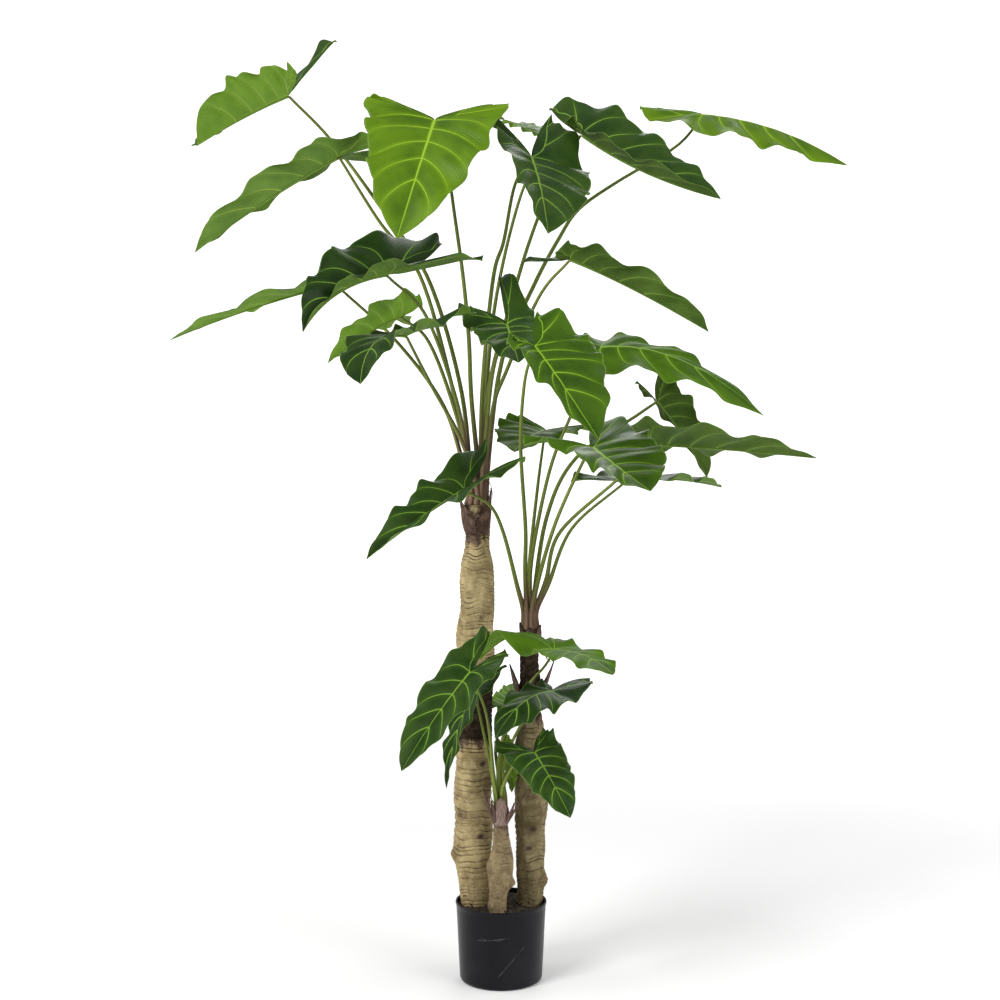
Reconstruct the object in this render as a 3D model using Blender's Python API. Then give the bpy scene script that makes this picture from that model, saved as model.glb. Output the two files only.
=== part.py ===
"""Potted giant taro: three trunks in a nursery pot, each with its own crown of arrow leaves.

Units are metres, +Z is up, -Y is the front. The origin is the middle of the pot's underside.
"""

import math

import bmesh
import bpy
from mathutils import Vector

# Pot and its fill
POT_HEIGHT = 0.150
POT_RIM_RADIUS = 0.0855
POT_FOOT_RADIUS = 0.0780
POT_WALL = 0.0022
POT_FLOOR = 0.0040
POT_SEGMENTS = 32
SOIL_TOP = 0.140
SOIL_MOUND = 0.004
SEAT_GAP = 0.0003

# Trunks: where each stands, how deep it is set and how it grows, as (x, y, z, radius)
TRUNK_FOOT_Z = 0.095
TRUNK_SIDES = 20
TALL_RING_SPACING = 0.028
RIGHT_RING_SPACING = 0.030
SMALL_RING_SPACING = 0.022
TALL_TRUNK = [
    (-0.047, 0.008, 0.140, 0.0290), (-0.049, 0.008, 0.182, 0.0325), (-0.050, 0.008, 0.210, 0.0340),
    (-0.053, 0.008, 0.283, 0.0350), (-0.054, 0.008, 0.358, 0.0342), (-0.052, 0.008, 0.415, 0.0338),
    (-0.053, 0.008, 0.494, 0.0360), (-0.050, 0.008, 0.590, 0.0350), (-0.047, 0.008, 0.676, 0.0338),
    (-0.045, 0.008, 0.743, 0.0322), (-0.045, 0.008, 0.794, 0.0298), (-0.045, 0.008, 0.822, 0.0232),
    (-0.045, 0.008, 0.852, 0.0214), (-0.045, 0.008, 0.900, 0.0234),
]
RIGHT_TRUNK = [
    (0.054, 0.008, 0.140, 0.0240), (0.056, 0.008, 0.210, 0.0255), (0.056, 0.008, 0.270, 0.0268),
    (0.0565, 0.008, 0.316, 0.0308), (0.0565, 0.008, 0.440, 0.0302), (0.056, 0.008, 0.485, 0.0225),
    (0.054, 0.008, 0.540, 0.0176), (0.054, 0.008, 0.620, 0.0172), (0.055, 0.008, 0.665, 0.0180),
]
SMALL_TRUNK = [
    (-0.006, -0.045, 0.140, 0.0168), (-0.005, -0.045, 0.172, 0.0166), (-0.001, -0.045, 0.200, 0.0215),
    (0.000, -0.045, 0.232, 0.0235), (0.001, -0.045, 0.265, 0.0165), (0.000, -0.045, 0.300, 0.0128),
    (-0.001, -0.045, 0.318, 0.0128),
]
RING_RELIEF = 0.0011
# Leaf scars and burrs, as (height, angle round the trunk in degrees, height of the burr)
TALL_BURRS = [(0.228, 190.0, 0.006), (0.300, 300.0, 0.005), (0.420, 290.0, 0.005), (0.320, 215.0, 0.004)]
RIGHT_BURRS = [(0.185, 345.0, 0.006), (0.280, 262.0, 0.004), (0.245, 255.0, 0.004)]
SMALL_BURRS = [(0.205, 350.0, 0.004)]

# Petiole radii (base, junction) and the rings in which the petioles stand on each trunk
TALL_PETIOLE = (0.0045, 0.0025)
RIGHT_PETIOLE = (0.0044, 0.0024)
SMALL_PETIOLE = (0.0036, 0.0021)
PETIOLE_SIDES = 5
PETIOLE_RINGS = 8
PETIOLE_UPRIGHT = 0.035

# Dry sheath collars: name, centre of the foot, inner radius, height, flare of the upper edge, and
# where along the ragged edge each one starts
HUSK_WALL = 0.0012
HUSK_TEETH = [0.9, 0.3, 0.7, 0.1, 0.5, 1.0, 0.2, 0.6, 0.0, 0.8, 0.35, 0.75, 0.15, 0.55, 0.25, 0.65]
HUSKS = [
    ("husk_tall", (-0.045, 0.008, 0.850), 0.0240, 0.064, 0.013, 0),
    ("husk_right_top", (0.055, 0.008, 0.646), 0.0190, 0.030, 0.003, 3),
    ("husk_right_low", (0.0545, 0.008, 0.518), 0.0202, 0.082, 0.021, 5),
    ("husk_small", (-0.001, -0.045, 0.310), 0.0140, 0.056, 0.016, 8),
]

# Blades
BLADE_THICKNESS = 0.0011
COLUMNS = (0.0, 0.42, 0.76, 1.0)
# Position of each cross line of the blade: (along the sinus or midrib, along the margin)
LOBE_LINES = [(0.0, 0.0), (0.32, 0.75), (0.62, 1.4), (0.86, 2.0)]
BODY_LINES = [(0.0, 2.55), (0.075, 3.1), (0.17, 3.65), (0.28, 4.2), (0.40, 4.8), (0.53, 5.45),
              (0.67, 6.15), (0.83, 7.0), (1.0, 8.0)]

# Every leaf: name, foot angle, foot ring radius, then the junction, middle and tip of its midrib,
# the way its upper side faces, (width of each half, length and spread of each lobe, how far the
# belly sits towards the tip), (fold of each half, droop of the lobes' ends, lobe hang, twist),
# (wave height, wave phase), and the points its petiole passes through on the way up
TALL_LEAVES = [
    ("leaf_tall_1", 135, 0.0180, (-0.395, 0.000, 1.660), (-0.465, -0.080, 1.605), (-0.535, -0.160, 1.540),
     (-0.20, 0.50, 0.80), (0.086, 0.086, 0.040, 12, 0.205, -3, 1.5), (42, 42, 0.00, -20, 0), (0.008, 0.3),
     [(-0.075, 0.020, 1.115), (-0.135, 0.020, 1.320), (-0.220, 0.035, 1.450),
      (-0.320, 0.035, 1.585)]),
    ("leaf_tall_2", 170, 0.0084, (-0.295, -0.070, 1.535), (-0.415, -0.130, 1.450), (-0.535, -0.190, 1.350),
     (-0.10, 0.57, 0.80), (0.054, 0.054, 0.090, 0, 0.120, 34, 0.6), (45, 45, 0.00, 14, 0), (0.009, 1.1),
     [(-0.090, 0.000, 1.115), (-0.150, 0.000, 1.325), (-0.225, -0.030, 1.425)]),
    ("leaf_tall_3", 314, 0.0084, (-0.120, -0.080, 1.600), (-0.145, -0.160, 1.500), (-0.180, -0.220, 1.370),
     (0.00, -0.80, 0.60), (0.104, 0.108, 0.112, 62, 0.105, 74, 0.0), (12, 12, 0.00, 0, 0), (0.008, 2.0),
     [(-0.055, -0.010, 1.095), (-0.060, -0.010, 1.210), (-0.070, -0.015, 1.320),
      (-0.085, -0.015, 1.430), (-0.100, -0.030, 1.530)]),
    ("leaf_tall_4", 232, 0.0180, (-0.200, -0.155, 1.315), (-0.280, -0.240, 1.275), (-0.335, -0.290, 1.205),
     (-0.10, -0.70, 0.70), (0.045, 0.080, 0.190, 16, 0.165, 24, -0.6), (70, 40, 0.00, 5, 0), (0.009, 0.8),
     [(-0.080, -0.040, 1.085), (-0.135, -0.110, 1.245)]),
    ("leaf_tall_5", 180, 0.0180, (-0.310, 0.010, 1.315), (-0.465, -0.020, 1.265), (-0.610, -0.050, 1.205),
     (0.00, 0.05, 1.00), (0.075, 0.075, 0.090, 35, 0.100, 35, 0.2), (12, 12, 0.00, 0, 0), (0.008, 1.7),
     [(-0.105, 0.005, 1.080), (-0.195, 0.015, 1.205)]),
    ("leaf_tall_6", 242, 0.0084, (-0.185, -0.030, 1.250), (-0.245, -0.080, 1.215), (-0.310, -0.130, 1.160),
     (-0.20, 0.50, 0.85), (0.063, 0.050, 0.050, 22, 0.060, 30, 0.3), (22, 22, 0.00, 8, 0), (0.007, 2.6),
     [(-0.090, -0.020, 1.090), (-0.135, -0.030, 1.205)]),
    ("leaf_tall_7", 268, 0.0180, (-0.165, -0.190, 1.205), (-0.215, -0.290, 1.185), (-0.230, -0.380, 1.115),
     (-0.30, -0.22, 0.92), (0.065, 0.065, 0.118, 38, 0.080, 40, 0.2), (12, 12, 0.20, -26, 0), (0.009, 0.2),
     [(-0.075, -0.045, 1.025), (-0.125, -0.120, 1.120)]),
    ("leaf_tall_8", 300, 0.0180, (0.010, -0.120, 1.230), (0.020, -0.190, 1.195), (0.030, -0.260, 1.155),
     (-0.05, -0.68, 0.73), (0.052, 0.065, 0.138, 3, 0.078, 60, 0.0), (14, 14, 0.20, -28, 0), (0.008, 1.4),
     [(-0.020, -0.050, 1.115), (-0.005, -0.090, 1.185)]),
    ("leaf_tall_9", 26, 0.0084, (0.055, -0.045, 1.540), (0.070, -0.170, 1.460), (0.080, -0.250, 1.375),
     (0.45, -0.62, 0.60), (0.100, 0.064, 0.100, 16, 0.084, 74, -0.3), (16, 16, 0.00, -26, 0), (0.008, 0.6),
     [(-0.035, 0.000, 1.115), (-0.015, -0.010, 1.320), (0.005, -0.020, 1.390),
      (0.025, -0.030, 1.490)]),
    ("leaf_tall_10", 98, 0.0084, (0.150, 0.030, 1.595), (0.265, -0.030, 1.515), (0.400, -0.070, 1.460),
     (-0.10, -0.32, 0.94), (0.100, 0.056, 0.105, 14, 0.035, 20, 0.1), (33, 58, 0.00, 12, 0), (0.008, 2.2),
     [(-0.020, 0.030, 1.135), (0.020, 0.045, 1.285), (0.055, 0.045, 1.400),
      (0.095, 0.040, 1.500)]),
    ("leaf_tall_11", 25, 0.0180, (0.390, 0.120, 1.650), (0.525, 0.070, 1.610), (0.650, 0.020, 1.535),
     (0.00, -0.30, 0.95), (0.085, 0.085, 0.125, 30, 0.125, 30, 0.2), (-34, -18, 0.00, -12, 0), (0.008, 1.0),
     [(0.000, 0.030, 1.165), (0.060, 0.060, 1.310), (0.110, 0.080, 1.405),
      (0.150, 0.100, 1.465), (0.225, 0.120, 1.520), (0.340, 0.130, 1.590)]),
    ("leaf_tall_12", 342, 0.0180, (0.125, -0.080, 1.350), (0.235, -0.110, 1.295), (0.370, -0.140, 1.215),
     (0.00, 0.30, 0.95), (0.046, 0.054, 0.120, 22, 0.035, 20, 1.1), (60, 45, 0.00, 28, 0), (0.008, 2.9),
     [(-0.015, -0.005, 1.080), (0.010, -0.010, 1.150), (0.070, -0.050, 1.285)]),
    ("leaf_tall_13", 80, 0.0180, (0.090, 0.160, 1.620), (0.045, 0.260, 1.655), (0.000, 0.360, 1.680),
     (0.00, 0.00, 1.00), (0.045, 0.045, 0.060, 35, 0.060, 35, 0.0), (6, 6, 0.00, 0, 0), (0.004, 0.4),
     [(-0.030, 0.045, 1.095), (-0.010, 0.085, 1.290), (0.035, 0.130, 1.485)]),
]
RIGHT_LEAVES = [
    ("leaf_right_1", 240, 0.0125, (0.055, -0.330, 1.180), (0.095, -0.400, 1.120), (0.155, -0.450, 1.025),
     (0.35, -0.75, 0.55), (0.095, 0.048, 0.095, 16, 0.040, 102, 0.1), (18, 18, 0.10, -20, 0), (0.009, 1.9),
     [(0.045, -0.025, 0.780), (0.045, -0.060, 0.860), (0.035, -0.140, 1.010),
      (0.040, -0.240, 1.120)]),
    ("leaf_right_2", 0, 0.0000, (0.180, -0.100, 1.190), (0.320, -0.140, 1.165), (0.465, -0.170, 1.065),
     (0.00, -0.22, 0.97), (0.060, 0.085, 0.085, 35, 0.085, 35, 0.1), (12, -32, 0.00, 0, -18), (0.009, 0.9),
     [(0.055, 0.010, 0.775), (0.070, 0.005, 0.870), (0.095, -0.020, 0.980),
      (0.130, -0.050, 1.070)]),
    ("leaf_right_3", 65, 0.0125, (0.295, 0.030, 1.095), (0.345, 0.040, 1.030), (0.390, 0.030, 0.950),
     (0.65, 0.70, 0.30), (0.034, 0.056, 0.060, 30, 0.055, 40, 0.2), (44, 44, 0.00, 0, 0), (0.008, 2.4),
     [(0.085, 0.025, 0.870), (0.140, 0.030, 0.985), (0.260, 0.030, 1.070)]),
    ("leaf_right_4", 330, 0.0125, (0.275, -0.070, 1.015), (0.415, -0.110, 1.005), (0.565, -0.140, 0.990),
     (0.00, 0.35, 0.93), (0.069, 0.069, 0.080, 30, 0.080, 30, -0.2), (20, 20, 0.00, 10, 0), (0.008, 0.1),
     [(0.085, -0.005, 0.760), (0.110, -0.020, 0.850), (0.215, -0.055, 0.950)]),
    ("leaf_right_5", 285, 0.0125, (0.160, -0.200, 1.010), (0.200, -0.300, 0.975), (0.245, -0.380, 0.940),
     (0.10, -0.52, 0.85), (0.098, 0.058, 0.112, 28, 0.115, 76, 0.1), (15, 15, 0.15, -6, 0), (0.008, 1.5),
     [(0.070, -0.035, 0.765), (0.100, -0.100, 0.875), (0.145, -0.175, 0.985)]),
    ("leaf_right_6", 115, 0.0125, (0.085, 0.100, 1.040), (0.050, 0.020, 1.025), (0.025, -0.060, 1.000),
     (-0.10, -0.45, 0.88), (0.075, 0.075, 0.085, 62, 0.085, 58, 0.0), (12, 12, 0.00, 0, 0), (0.007, 2.8),
     [(0.055, 0.040, 0.795), (0.070, 0.065, 0.930)]),
    ("leaf_right_7", 20, 0.0125, (0.235, 0.030, 0.945), (0.335, 0.120, 0.945), (0.445, 0.220, 0.925),
     (0.00, -0.03, 1.00), (0.070, 0.070, 0.100, 40, 0.105, 35, 0.0), (8, 8, 0.00, 0, 0), (0.008, 0.7),
     [(0.090, 0.015, 0.750), (0.135, 0.025, 0.855)]),
    ("leaf_right_8", 190, 0.0125, (-0.065, -0.160, 0.935), (-0.145, -0.230, 0.885), (-0.230, -0.280, 0.820),
     (-0.10, -0.35, 0.93), (0.061, 0.055, 0.120, 36, 0.140, 26, -0.2), (36, 36, 0.10, -7, 0), (0.008, 2.1),
     [(0.030, -0.030, 0.750), (0.005, -0.080, 0.850), (-0.020, -0.130, 0.905)]),
]
SMALL_LEAVES = [
    ("leaf_small_1", 225, 0.0086, (-0.055, -0.170, 0.610), (-0.115, -0.240, 0.540), (-0.170, -0.300, 0.460),
     (-0.25, -0.75, 0.60), (0.051, 0.051, 0.072, 32, 0.098, 12, 0.2), (25, 25, 0.00, 0, 0), (0.007, 0.5),
     [(-0.015, -0.065, 0.410), (-0.020, -0.090, 0.475), (-0.030, -0.130, 0.540)]),
    ("leaf_small_2", 170, 0.0086, (-0.050, -0.080, 0.560), (-0.085, -0.095, 0.475), (-0.100, -0.100, 0.385),
     (-0.60, -0.65, 0.20), (0.024, 0.024, 0.080, 35, 0.060, 30, -0.5), (22, 22, 0.00, 0, 0), (0.006, 1.8),
     [(-0.020, -0.050, 0.420), (-0.030, -0.060, 0.470)]),
    ("leaf_small_3", 0, 0.0000, (0.095, -0.130, 0.645), (0.150, -0.220, 0.645), (0.190, -0.300, 0.625),
     (0.05, -0.08, 1.00), (0.042, 0.065, 0.080, 30, 0.140, 32, 0.2), (0, 0, 1.60, -50, 0), (0.007, 2.7),
     [(-0.005, -0.045, 0.415), (0.010, -0.045, 0.490), (0.045, -0.050, 0.560),
      (0.080, -0.095, 0.610)]),
    ("leaf_small_4", 350, 0.0086, (0.090, -0.130, 0.570), (0.035, -0.240, 0.565), (-0.010, -0.320, 0.520),
     (-0.05, -0.50, 0.85), (0.046, 0.048, 0.110, 8, 0.050, 42, -0.2), (-18, -18, 0.20, -24, 0), (0.008, 1.2),
     [(0.005, -0.040, 0.415), (0.040, -0.060, 0.500)]),
    ("leaf_small_5", 290, 0.0086, (0.060, -0.140, 0.460), (0.090, -0.200, 0.420), (0.120, -0.260, 0.370),
     (0.05, -0.75, 0.65), (0.045, 0.050, 0.055, 40, 0.070, 45, 0.1), (15, 15, 0.00, 0, 0), (0.006, 0.2),
     [(0.005, -0.070, 0.385), (0.025, -0.100, 0.430)]),
    ("leaf_small_6", 100, 0.0086, (0.010, 0.100, 0.505), (0.020, 0.170, 0.515), (0.025, 0.240, 0.525),
     (0.00, 0.00, 1.00), (0.032, 0.032, 0.035, 35, 0.035, 35, 0.0), (12, 12, 0.00, 0, 0), (0.004, 2.5),
     [(-0.005, -0.005, 0.390), (-0.010, 0.030, 0.440)]),
    ("leaf_small_7", 50, 0.0086, (0.005, 0.000, 0.440), (0.015, -0.010, 0.400), (0.020, -0.020, 0.360),
     (0.50, 0.60, 0.40), (0.022, 0.022, 0.030, 30, 0.030, 30, 0.0), (15, 15, 0.00, 0, 0), (0.003, 1.6),
     [(0.000, -0.030, 0.385)]),
]


def make_material(name, colour, roughness, metallic=0.0):
    material = bpy.data.materials.new(name)
    material.use_nodes = True
    shader = material.node_tree.nodes["Principled BSDF"]
    shader.inputs["Base Color"].default_value = (*colour, 1.0)
    shader.inputs["Roughness"].default_value = roughness
    shader.inputs["Metallic"].default_value = metallic
    return material


def add_object(name, vertices, faces, material):
    mesh = bpy.data.meshes.new(name)
    mesh.from_pydata([tuple(v) for v in vertices], [], faces)
    mesh.materials.append(material)
    shape = bmesh.new()
    shape.from_mesh(mesh)
    bmesh.ops.recalc_face_normals(shape, faces=shape.faces)
    shape.to_mesh(mesh)
    shape.free()
    item = bpy.data.objects.new(name, mesh)
    bpy.context.scene.collection.objects.link(item)
    return item


def join_solids(item, other, operation="UNION"):
    """Join or cut one solid by another, keep the result and drop the other solid."""
    step = item.modifiers.new("join", "BOOLEAN")
    step.operation = operation
    step.solver = "MANIFOLD"
    step.object = other
    bpy.context.view_layer.update()
    result = bpy.data.meshes.new_from_object(item.evaluated_get(bpy.context.evaluated_depsgraph_get()))
    item.modifiers.clear()
    item.data = result
    bpy.data.objects.remove(other, do_unlink=True)


def spline(points, t):
    """Point at t on a smooth curve through the points, t counting whole points."""
    last = len(points) - 1
    i = min(int(t), last - 1)
    f = t - i
    p1 = points[i]
    p2 = points[i + 1]
    p0 = points[i - 1] if i > 0 else p1 * 2 - p2
    p3 = points[i + 2] if i + 2 <= last else p2 * 2 - p1
    return 0.5 * (2 * p1 + (p2 - p0) * f + (2 * p0 - 5 * p1 + 4 * p2 - p3) * f * f
                  + (3 * p1 - p0 - 3 * p2 + p3) * f * f * f)


def turned(name, profile, segments, material):
    """Solid of revolution about the Z axis from (radius, height) points that start and end on it."""
    vertices = [Vector((0, 0, profile[0][1]))]
    for radius, height in profile[1:-1]:
        for k in range(segments):
            angle = 2 * math.pi * k / segments
            vertices.append(Vector((radius * math.cos(angle), radius * math.sin(angle), height)))
    vertices.append(Vector((0, 0, profile[-1][1])))
    rows = len(profile) - 2
    end = len(vertices) - 1
    faces = []
    for k in range(segments):
        n = (k + 1) % segments
        faces.append((0, 1 + n, 1 + k))
        for row in range(rows - 1):
            low = 1 + row * segments
            high = low + segments
            faces.append((low + k, low + n, high + n, high + k))
        top = 1 + (rows - 1) * segments
        faces.append((end, top + k, top + n))
    return add_object(name, vertices, faces, material)


def build_pot(material):
    inner_rim = POT_RIM_RADIUS - POT_WALL
    inner_foot = POT_FOOT_RADIUS - POT_WALL
    profile = [
        (0.0, 0.0), (POT_FOOT_RADIUS - 0.008, 0.0), (POT_FOOT_RADIUS - 0.0025, 0.0025),
        (POT_FOOT_RADIUS, 0.009), (POT_RIM_RADIUS - 0.0005, POT_HEIGHT - 0.006),
        (POT_RIM_RADIUS + 0.0005, POT_HEIGHT - 0.002), (POT_RIM_RADIUS, POT_HEIGHT),
        (inner_rim, POT_HEIGHT), (inner_foot, 0.011), (inner_foot - 0.006, POT_FLOOR), (0.0, POT_FLOOR),
    ]
    return turned("pot", profile, POT_SEGMENTS, material)


def wall_radius(height):
    """Inner radius of the pot at a height, along its straight wall."""
    share = (height - 0.011) / (POT_HEIGHT - 0.011)
    foot = POT_FOOT_RADIUS - POT_WALL
    return foot + (POT_RIM_RADIUS - POT_FOOT_RADIUS) * share


def build_soil(material):
    """Fill of the pot, with a plain hole for each trunk's foot."""
    slack = SEAT_GAP / math.cos(math.pi / POT_SEGMENTS)
    low = POT_FLOOR + SEAT_GAP
    profile = [
        (0.0, low), (POT_FOOT_RADIUS - POT_WALL - 0.0065, low),
        (wall_radius(0.0115) - slack - 0.0002, 0.0118),
        (wall_radius(SOIL_TOP - 0.004) - slack, SOIL_TOP - 0.004), (0.066, SOIL_TOP),
        (0.040, SOIL_TOP + 0.6 * SOIL_MOUND), (0.0, SOIL_TOP + SOIL_MOUND),
    ]
    soil = turned("soil", profile, POT_SEGMENTS, material)
    for spine in (TALL_TRUNK, RIGHT_TRUNK, SMALL_TRUNK):
        x, y, _, radius = spine[0]
        hole = ring_stack([(x, y, TRUNK_FOOT_Z - SEAT_GAP, radius + 0.0005),
                           (x, y, SOIL_TOP + 0.02, radius + 0.0005)], TRUNK_SIDES)
        join_solids(soil, add_object("hole", *hole, material), "DIFFERENCE")
    return soil


def ring_stack(rings, sides, shape=None):
    """Vertices and faces of a closed stack of rings (x, y, z, radius)."""
    vertices = []
    for row, (x, y, z, radius) in enumerate(rings):
        for k in range(sides):
            angle = 2 * math.pi * k / sides
            r = radius + (shape(row, z, angle) if shape else 0.0)
            vertices.append(Vector((x + r * math.cos(angle), y + r * math.sin(angle), z)))
    vertices.append(Vector((rings[0][0], rings[0][1], rings[0][2])))
    vertices.append(Vector((rings[-1][0], rings[-1][1], rings[-1][2])))
    foot = len(vertices) - 2
    head = len(vertices) - 1
    top = (len(rings) - 1) * sides
    faces = []
    for k in range(sides):
        n = (k + 1) % sides
        faces.append((foot, n, k))
        faces.append((head, top + k, top + n))
        for row in range(len(rings) - 1):
            low = row * sides
            high = low + sides
            faces.append((low + k, low + n, high + n, high + k))
    return vertices, faces


def build_trunk(name, spine, burrs, spacing, material):
    """Trunk with ring scars and burrs; its foot below the soil is a plain cylinder."""
    points = [Vector(p) for p in spine]
    total = spine[-1][2] - spine[0][2]
    count = max(6, round(total / spacing))
    x, y, z, radius = spine[0]
    rings = [(x, y, TRUNK_FOOT_Z, radius), (x, y, SOIL_TOP + SOIL_MOUND + 0.001, radius)]
    first_z = rings[1][2]
    for i in range(1, count + 1):
        goal = first_z + (spine[-1][2] - first_z) * i / count
        step = 0
        while step < len(spine) - 2 and spine[step + 1][2] < goal:
            step += 1
        share = (goal - spine[step][2]) / (spine[step + 1][2] - spine[step][2])
        here = spline(points, step + share) if len(spine) > 2 else points[0]
        rings.append((here[0], here[1], goal, here[3]))

    def relief(row, z, angle):
        if row < 2 or row == len(rings) - 1:
            return 0.0
        bump = RING_RELIEF * (1 if row % 2 else -1) + 0.0007 * math.sin(3 * angle + row)
        for height, turn, size in burrs:
            off = math.remainder(angle - math.radians(turn), 2 * math.pi)
            bump += size * math.exp(-((z - height) / 0.012) ** 2 - (off / 0.30) ** 2)
        return bump

    return add_object(name, *ring_stack(rings, TRUNK_SIDES, relief), material)


def midrib_point(leaf, share):
    """Point and direction of the midrib's line at a share of its length, straight behind the junction."""
    junction, middle, tip = (Vector(p) for p in leaf[3:6])
    pull = middle * 2 - (junction + tip) * 0.5
    if share < 0:
        start = (pull - junction) * 2
        return junction + start * share, start.normalized()
    here = junction * (1 - share) ** 2 + pull * 2 * share * (1 - share) + tip * share ** 2
    ahead = (pull - junction) * (1 - share) + (tip - pull) * share
    return here, ahead.normalized()


def midrib_frame(leaf, share):
    """Point on the midrib's line with the directions to the tip, sideways and out of the upper side."""
    here, along = midrib_point(leaf, share)
    up = Vector(leaf[6])
    up = (up - along * up.dot(along)).normalized()
    return here, along, up.cross(along), up


def blade_length(leaf):
    junction, middle, tip = (Vector(p) for p in leaf[3:6])
    return (middle - junction).length + (tip - middle).length


def margin_points(length, half, lobe, spread, belly):
    """Control points of one half's margin, from the lobe's tip to the leaf's tip, as (u, v)."""
    back = lobe * math.cos(math.radians(spread))
    out = lobe * math.sin(math.radians(spread))
    return [
        Vector((-back, out)), Vector((-0.93 * back, 0.95 * out + 0.32 * half)),
        Vector((-0.42 * back, 0.50 * out + (0.74 - 0.15 * belly) * half)),
        Vector((0.10 * length, 0.12 * out + (1.00 - 0.15 * belly) * half)),
        Vector((0.36 * length, 0.98 * half)),
        Vector((0.58 * length, (0.80 + 0.15 * belly) * half)),
        Vector((0.78 * length, (0.55 + 0.22 * belly) * half)),
        Vector((0.92 * length, (0.25 + 0.18 * belly) * half)), Vector((length, 0.0)),
    ]


def sinus_points(lobe, spread):
    """Control points of a lobe's inner edge, from its tip to the junction."""
    back = lobe * math.cos(math.radians(spread))
    out = lobe * math.sin(math.radians(spread))
    return [Vector((-back, out)), Vector((-0.66 * back, 0.46 * out)), Vector((-0.22 * back, 0.06 * out)),
            Vector((0.0, 0.0))]


def blade_surface(leaf):
    """Rows of points across the upper side of one blade: rows[side][line][column]."""
    plan, bend, wave = leaf[7:10]
    length = blade_length(leaf)
    half_one, half_two, lobe_one, spread_one, lobe_two, spread_two, belly = plan
    fold_one, fold_two, droop, hang, twist = bend
    sides = (
        (1, half_one, lobe_one, spread_one, math.radians(fold_one)),
        (-1, half_two, lobe_two, spread_two, math.radians(fold_two)),
    )

    def place(u, v, sign, half, tilt, lobe, outward, line):
        share = u / length
        here, _, side, up = midrib_frame(leaf, share)
        ripple = math.sin(2.35 * line + wave[1] + 1.7 * sign)
        rise = v * math.sin(tilt) * (1 - 0.30 * v / half)
        rise += wave[0] * ripple * outward ** 2 * min(1.0, 2.5 * (1 - share))
        if u < 0:
            rise += math.tan(math.radians(hang)) * u - droop * u * u / lobe
        across = sign * v * math.cos(tilt) * (1 + 0.035 * math.sin(3.1 * line + wave[1]) * outward)
        turn = math.radians(twist) * max(0.0, share)
        sideways = across * math.cos(turn) - rise * math.sin(turn)
        upward = across * math.sin(turn) + rise * math.cos(turn)
        return here + side * sideways + up * upward

    rows = []
    for sign, half, lobe, spread, tilt in sides:
        margin = margin_points(length, half, lobe, spread, belly)
        sinus = sinus_points(lobe, spread)
        lines = []
        for line, (inner, outer) in enumerate(LOBE_LINES + BODY_LINES):
            if line < len(LOBE_LINES):
                start = spline(sinus, inner * 3)
            else:
                start = Vector((inner * length, 0.0))
            end = spline(margin, outer)
            here = [start + (end - start) * c for c in COLUMNS]
            lines.append([place(*p, sign, half, tilt, lobe, c, line) for p, c in zip(here, COLUMNS)])
        rows.append(lines)
    return rows


def build_blade(name, leaf, material):
    """Blade as a thin closed sheet, both faces split alike."""
    rows = blade_surface(leaf)
    vertices = []
    index = {}
    for s, lines in enumerate(rows):
        for i, line in enumerate(lines):
            for c, point in enumerate(line):
                shared = c == 0 and i >= len(LOBE_LINES)
                merged_end = i in (0, len(lines) - 1)
                key = (0 if shared or i == len(lines) - 1 else s, i, 0 if merged_end else c)
                if key not in index:
                    index[key] = len(vertices)
                    vertices.append(point)
                index[(s, i, c)] = index[key]
    triangles = []
    for s, lines in enumerate(rows):
        for i in range(len(lines) - 1):
            for c in range(len(COLUMNS) - 1):
                a = index[(s, i, c)]
                b = index[(s, i, c + 1)]
                d = index[(s, i + 1, c)]
                e = index[(s, i + 1, c + 1)]
                for corner in ((a, b, e), (a, e, d)):
                    if len(set(corner)) == 3:
                        triangles.append(corner if s == 0 else corner[::-1])
    normals = [Vector((0, 0, 0)) for _ in vertices]
    for corner in triangles:
        p, q, r = (vertices[k] for k in corner)
        normal = (q - p).cross(r - p)
        for k in corner:
            normals[k] += normal
    count = len(vertices)
    under = [v - n.normalized() * BLADE_THICKNESS for v, n in zip(vertices, normals)]
    up = Vector(leaf[6])
    if sum((n.dot(up) for n in normals), 0.0) < 0:
        under = [v + n.normalized() * BLADE_THICKNESS for v, n in zip(vertices, normals)]
    edges = {}
    for corner in triangles:
        for k in range(3):
            edge = (corner[k], corner[(k + 1) % 3])
            edges[edge] = edges.get(edge, 0) + 1
    faces = list(triangles)
    faces += [tuple(k + count for k in corner[::-1]) for corner in triangles]
    for a, b in edges:
        if (b, a) not in edges:
            faces.append((b, a, a + count))
            faces.append((b, a + count, b + count))
    return add_object(name, vertices + under, faces, material)


def tube(name, path, radii, sides, material):
    """Closed round tube along a path."""
    vertices = []
    frame = None
    for i, point in enumerate(path):
        ahead = path[min(i + 1, len(path) - 1)] - path[max(i - 1, 0)]
        ahead.normalize()
        if frame is None:
            frame = Vector((1, 0, 0))
        frame = (frame - ahead * frame.dot(ahead)).normalized()
        other = ahead.cross(frame)
        for k in range(sides):
            angle = 2 * math.pi * k / sides
            vertices.append(point + (frame * math.cos(angle) + other * math.sin(angle)) * radii[i])
    faces = [tuple(range(sides))[::-1]]
    top = (len(path) - 1) * sides
    faces.append(tuple(top + k for k in range(sides)))
    for row in range(len(path) - 1):
        low = row * sides
        for k in range(sides):
            n = (k + 1) % sides
            faces.append((low + k, low + n, low + sides + n))
            faces.append((low + k, low + sides + n, low + sides + k))
    return add_object(name, vertices, faces, material)


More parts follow.
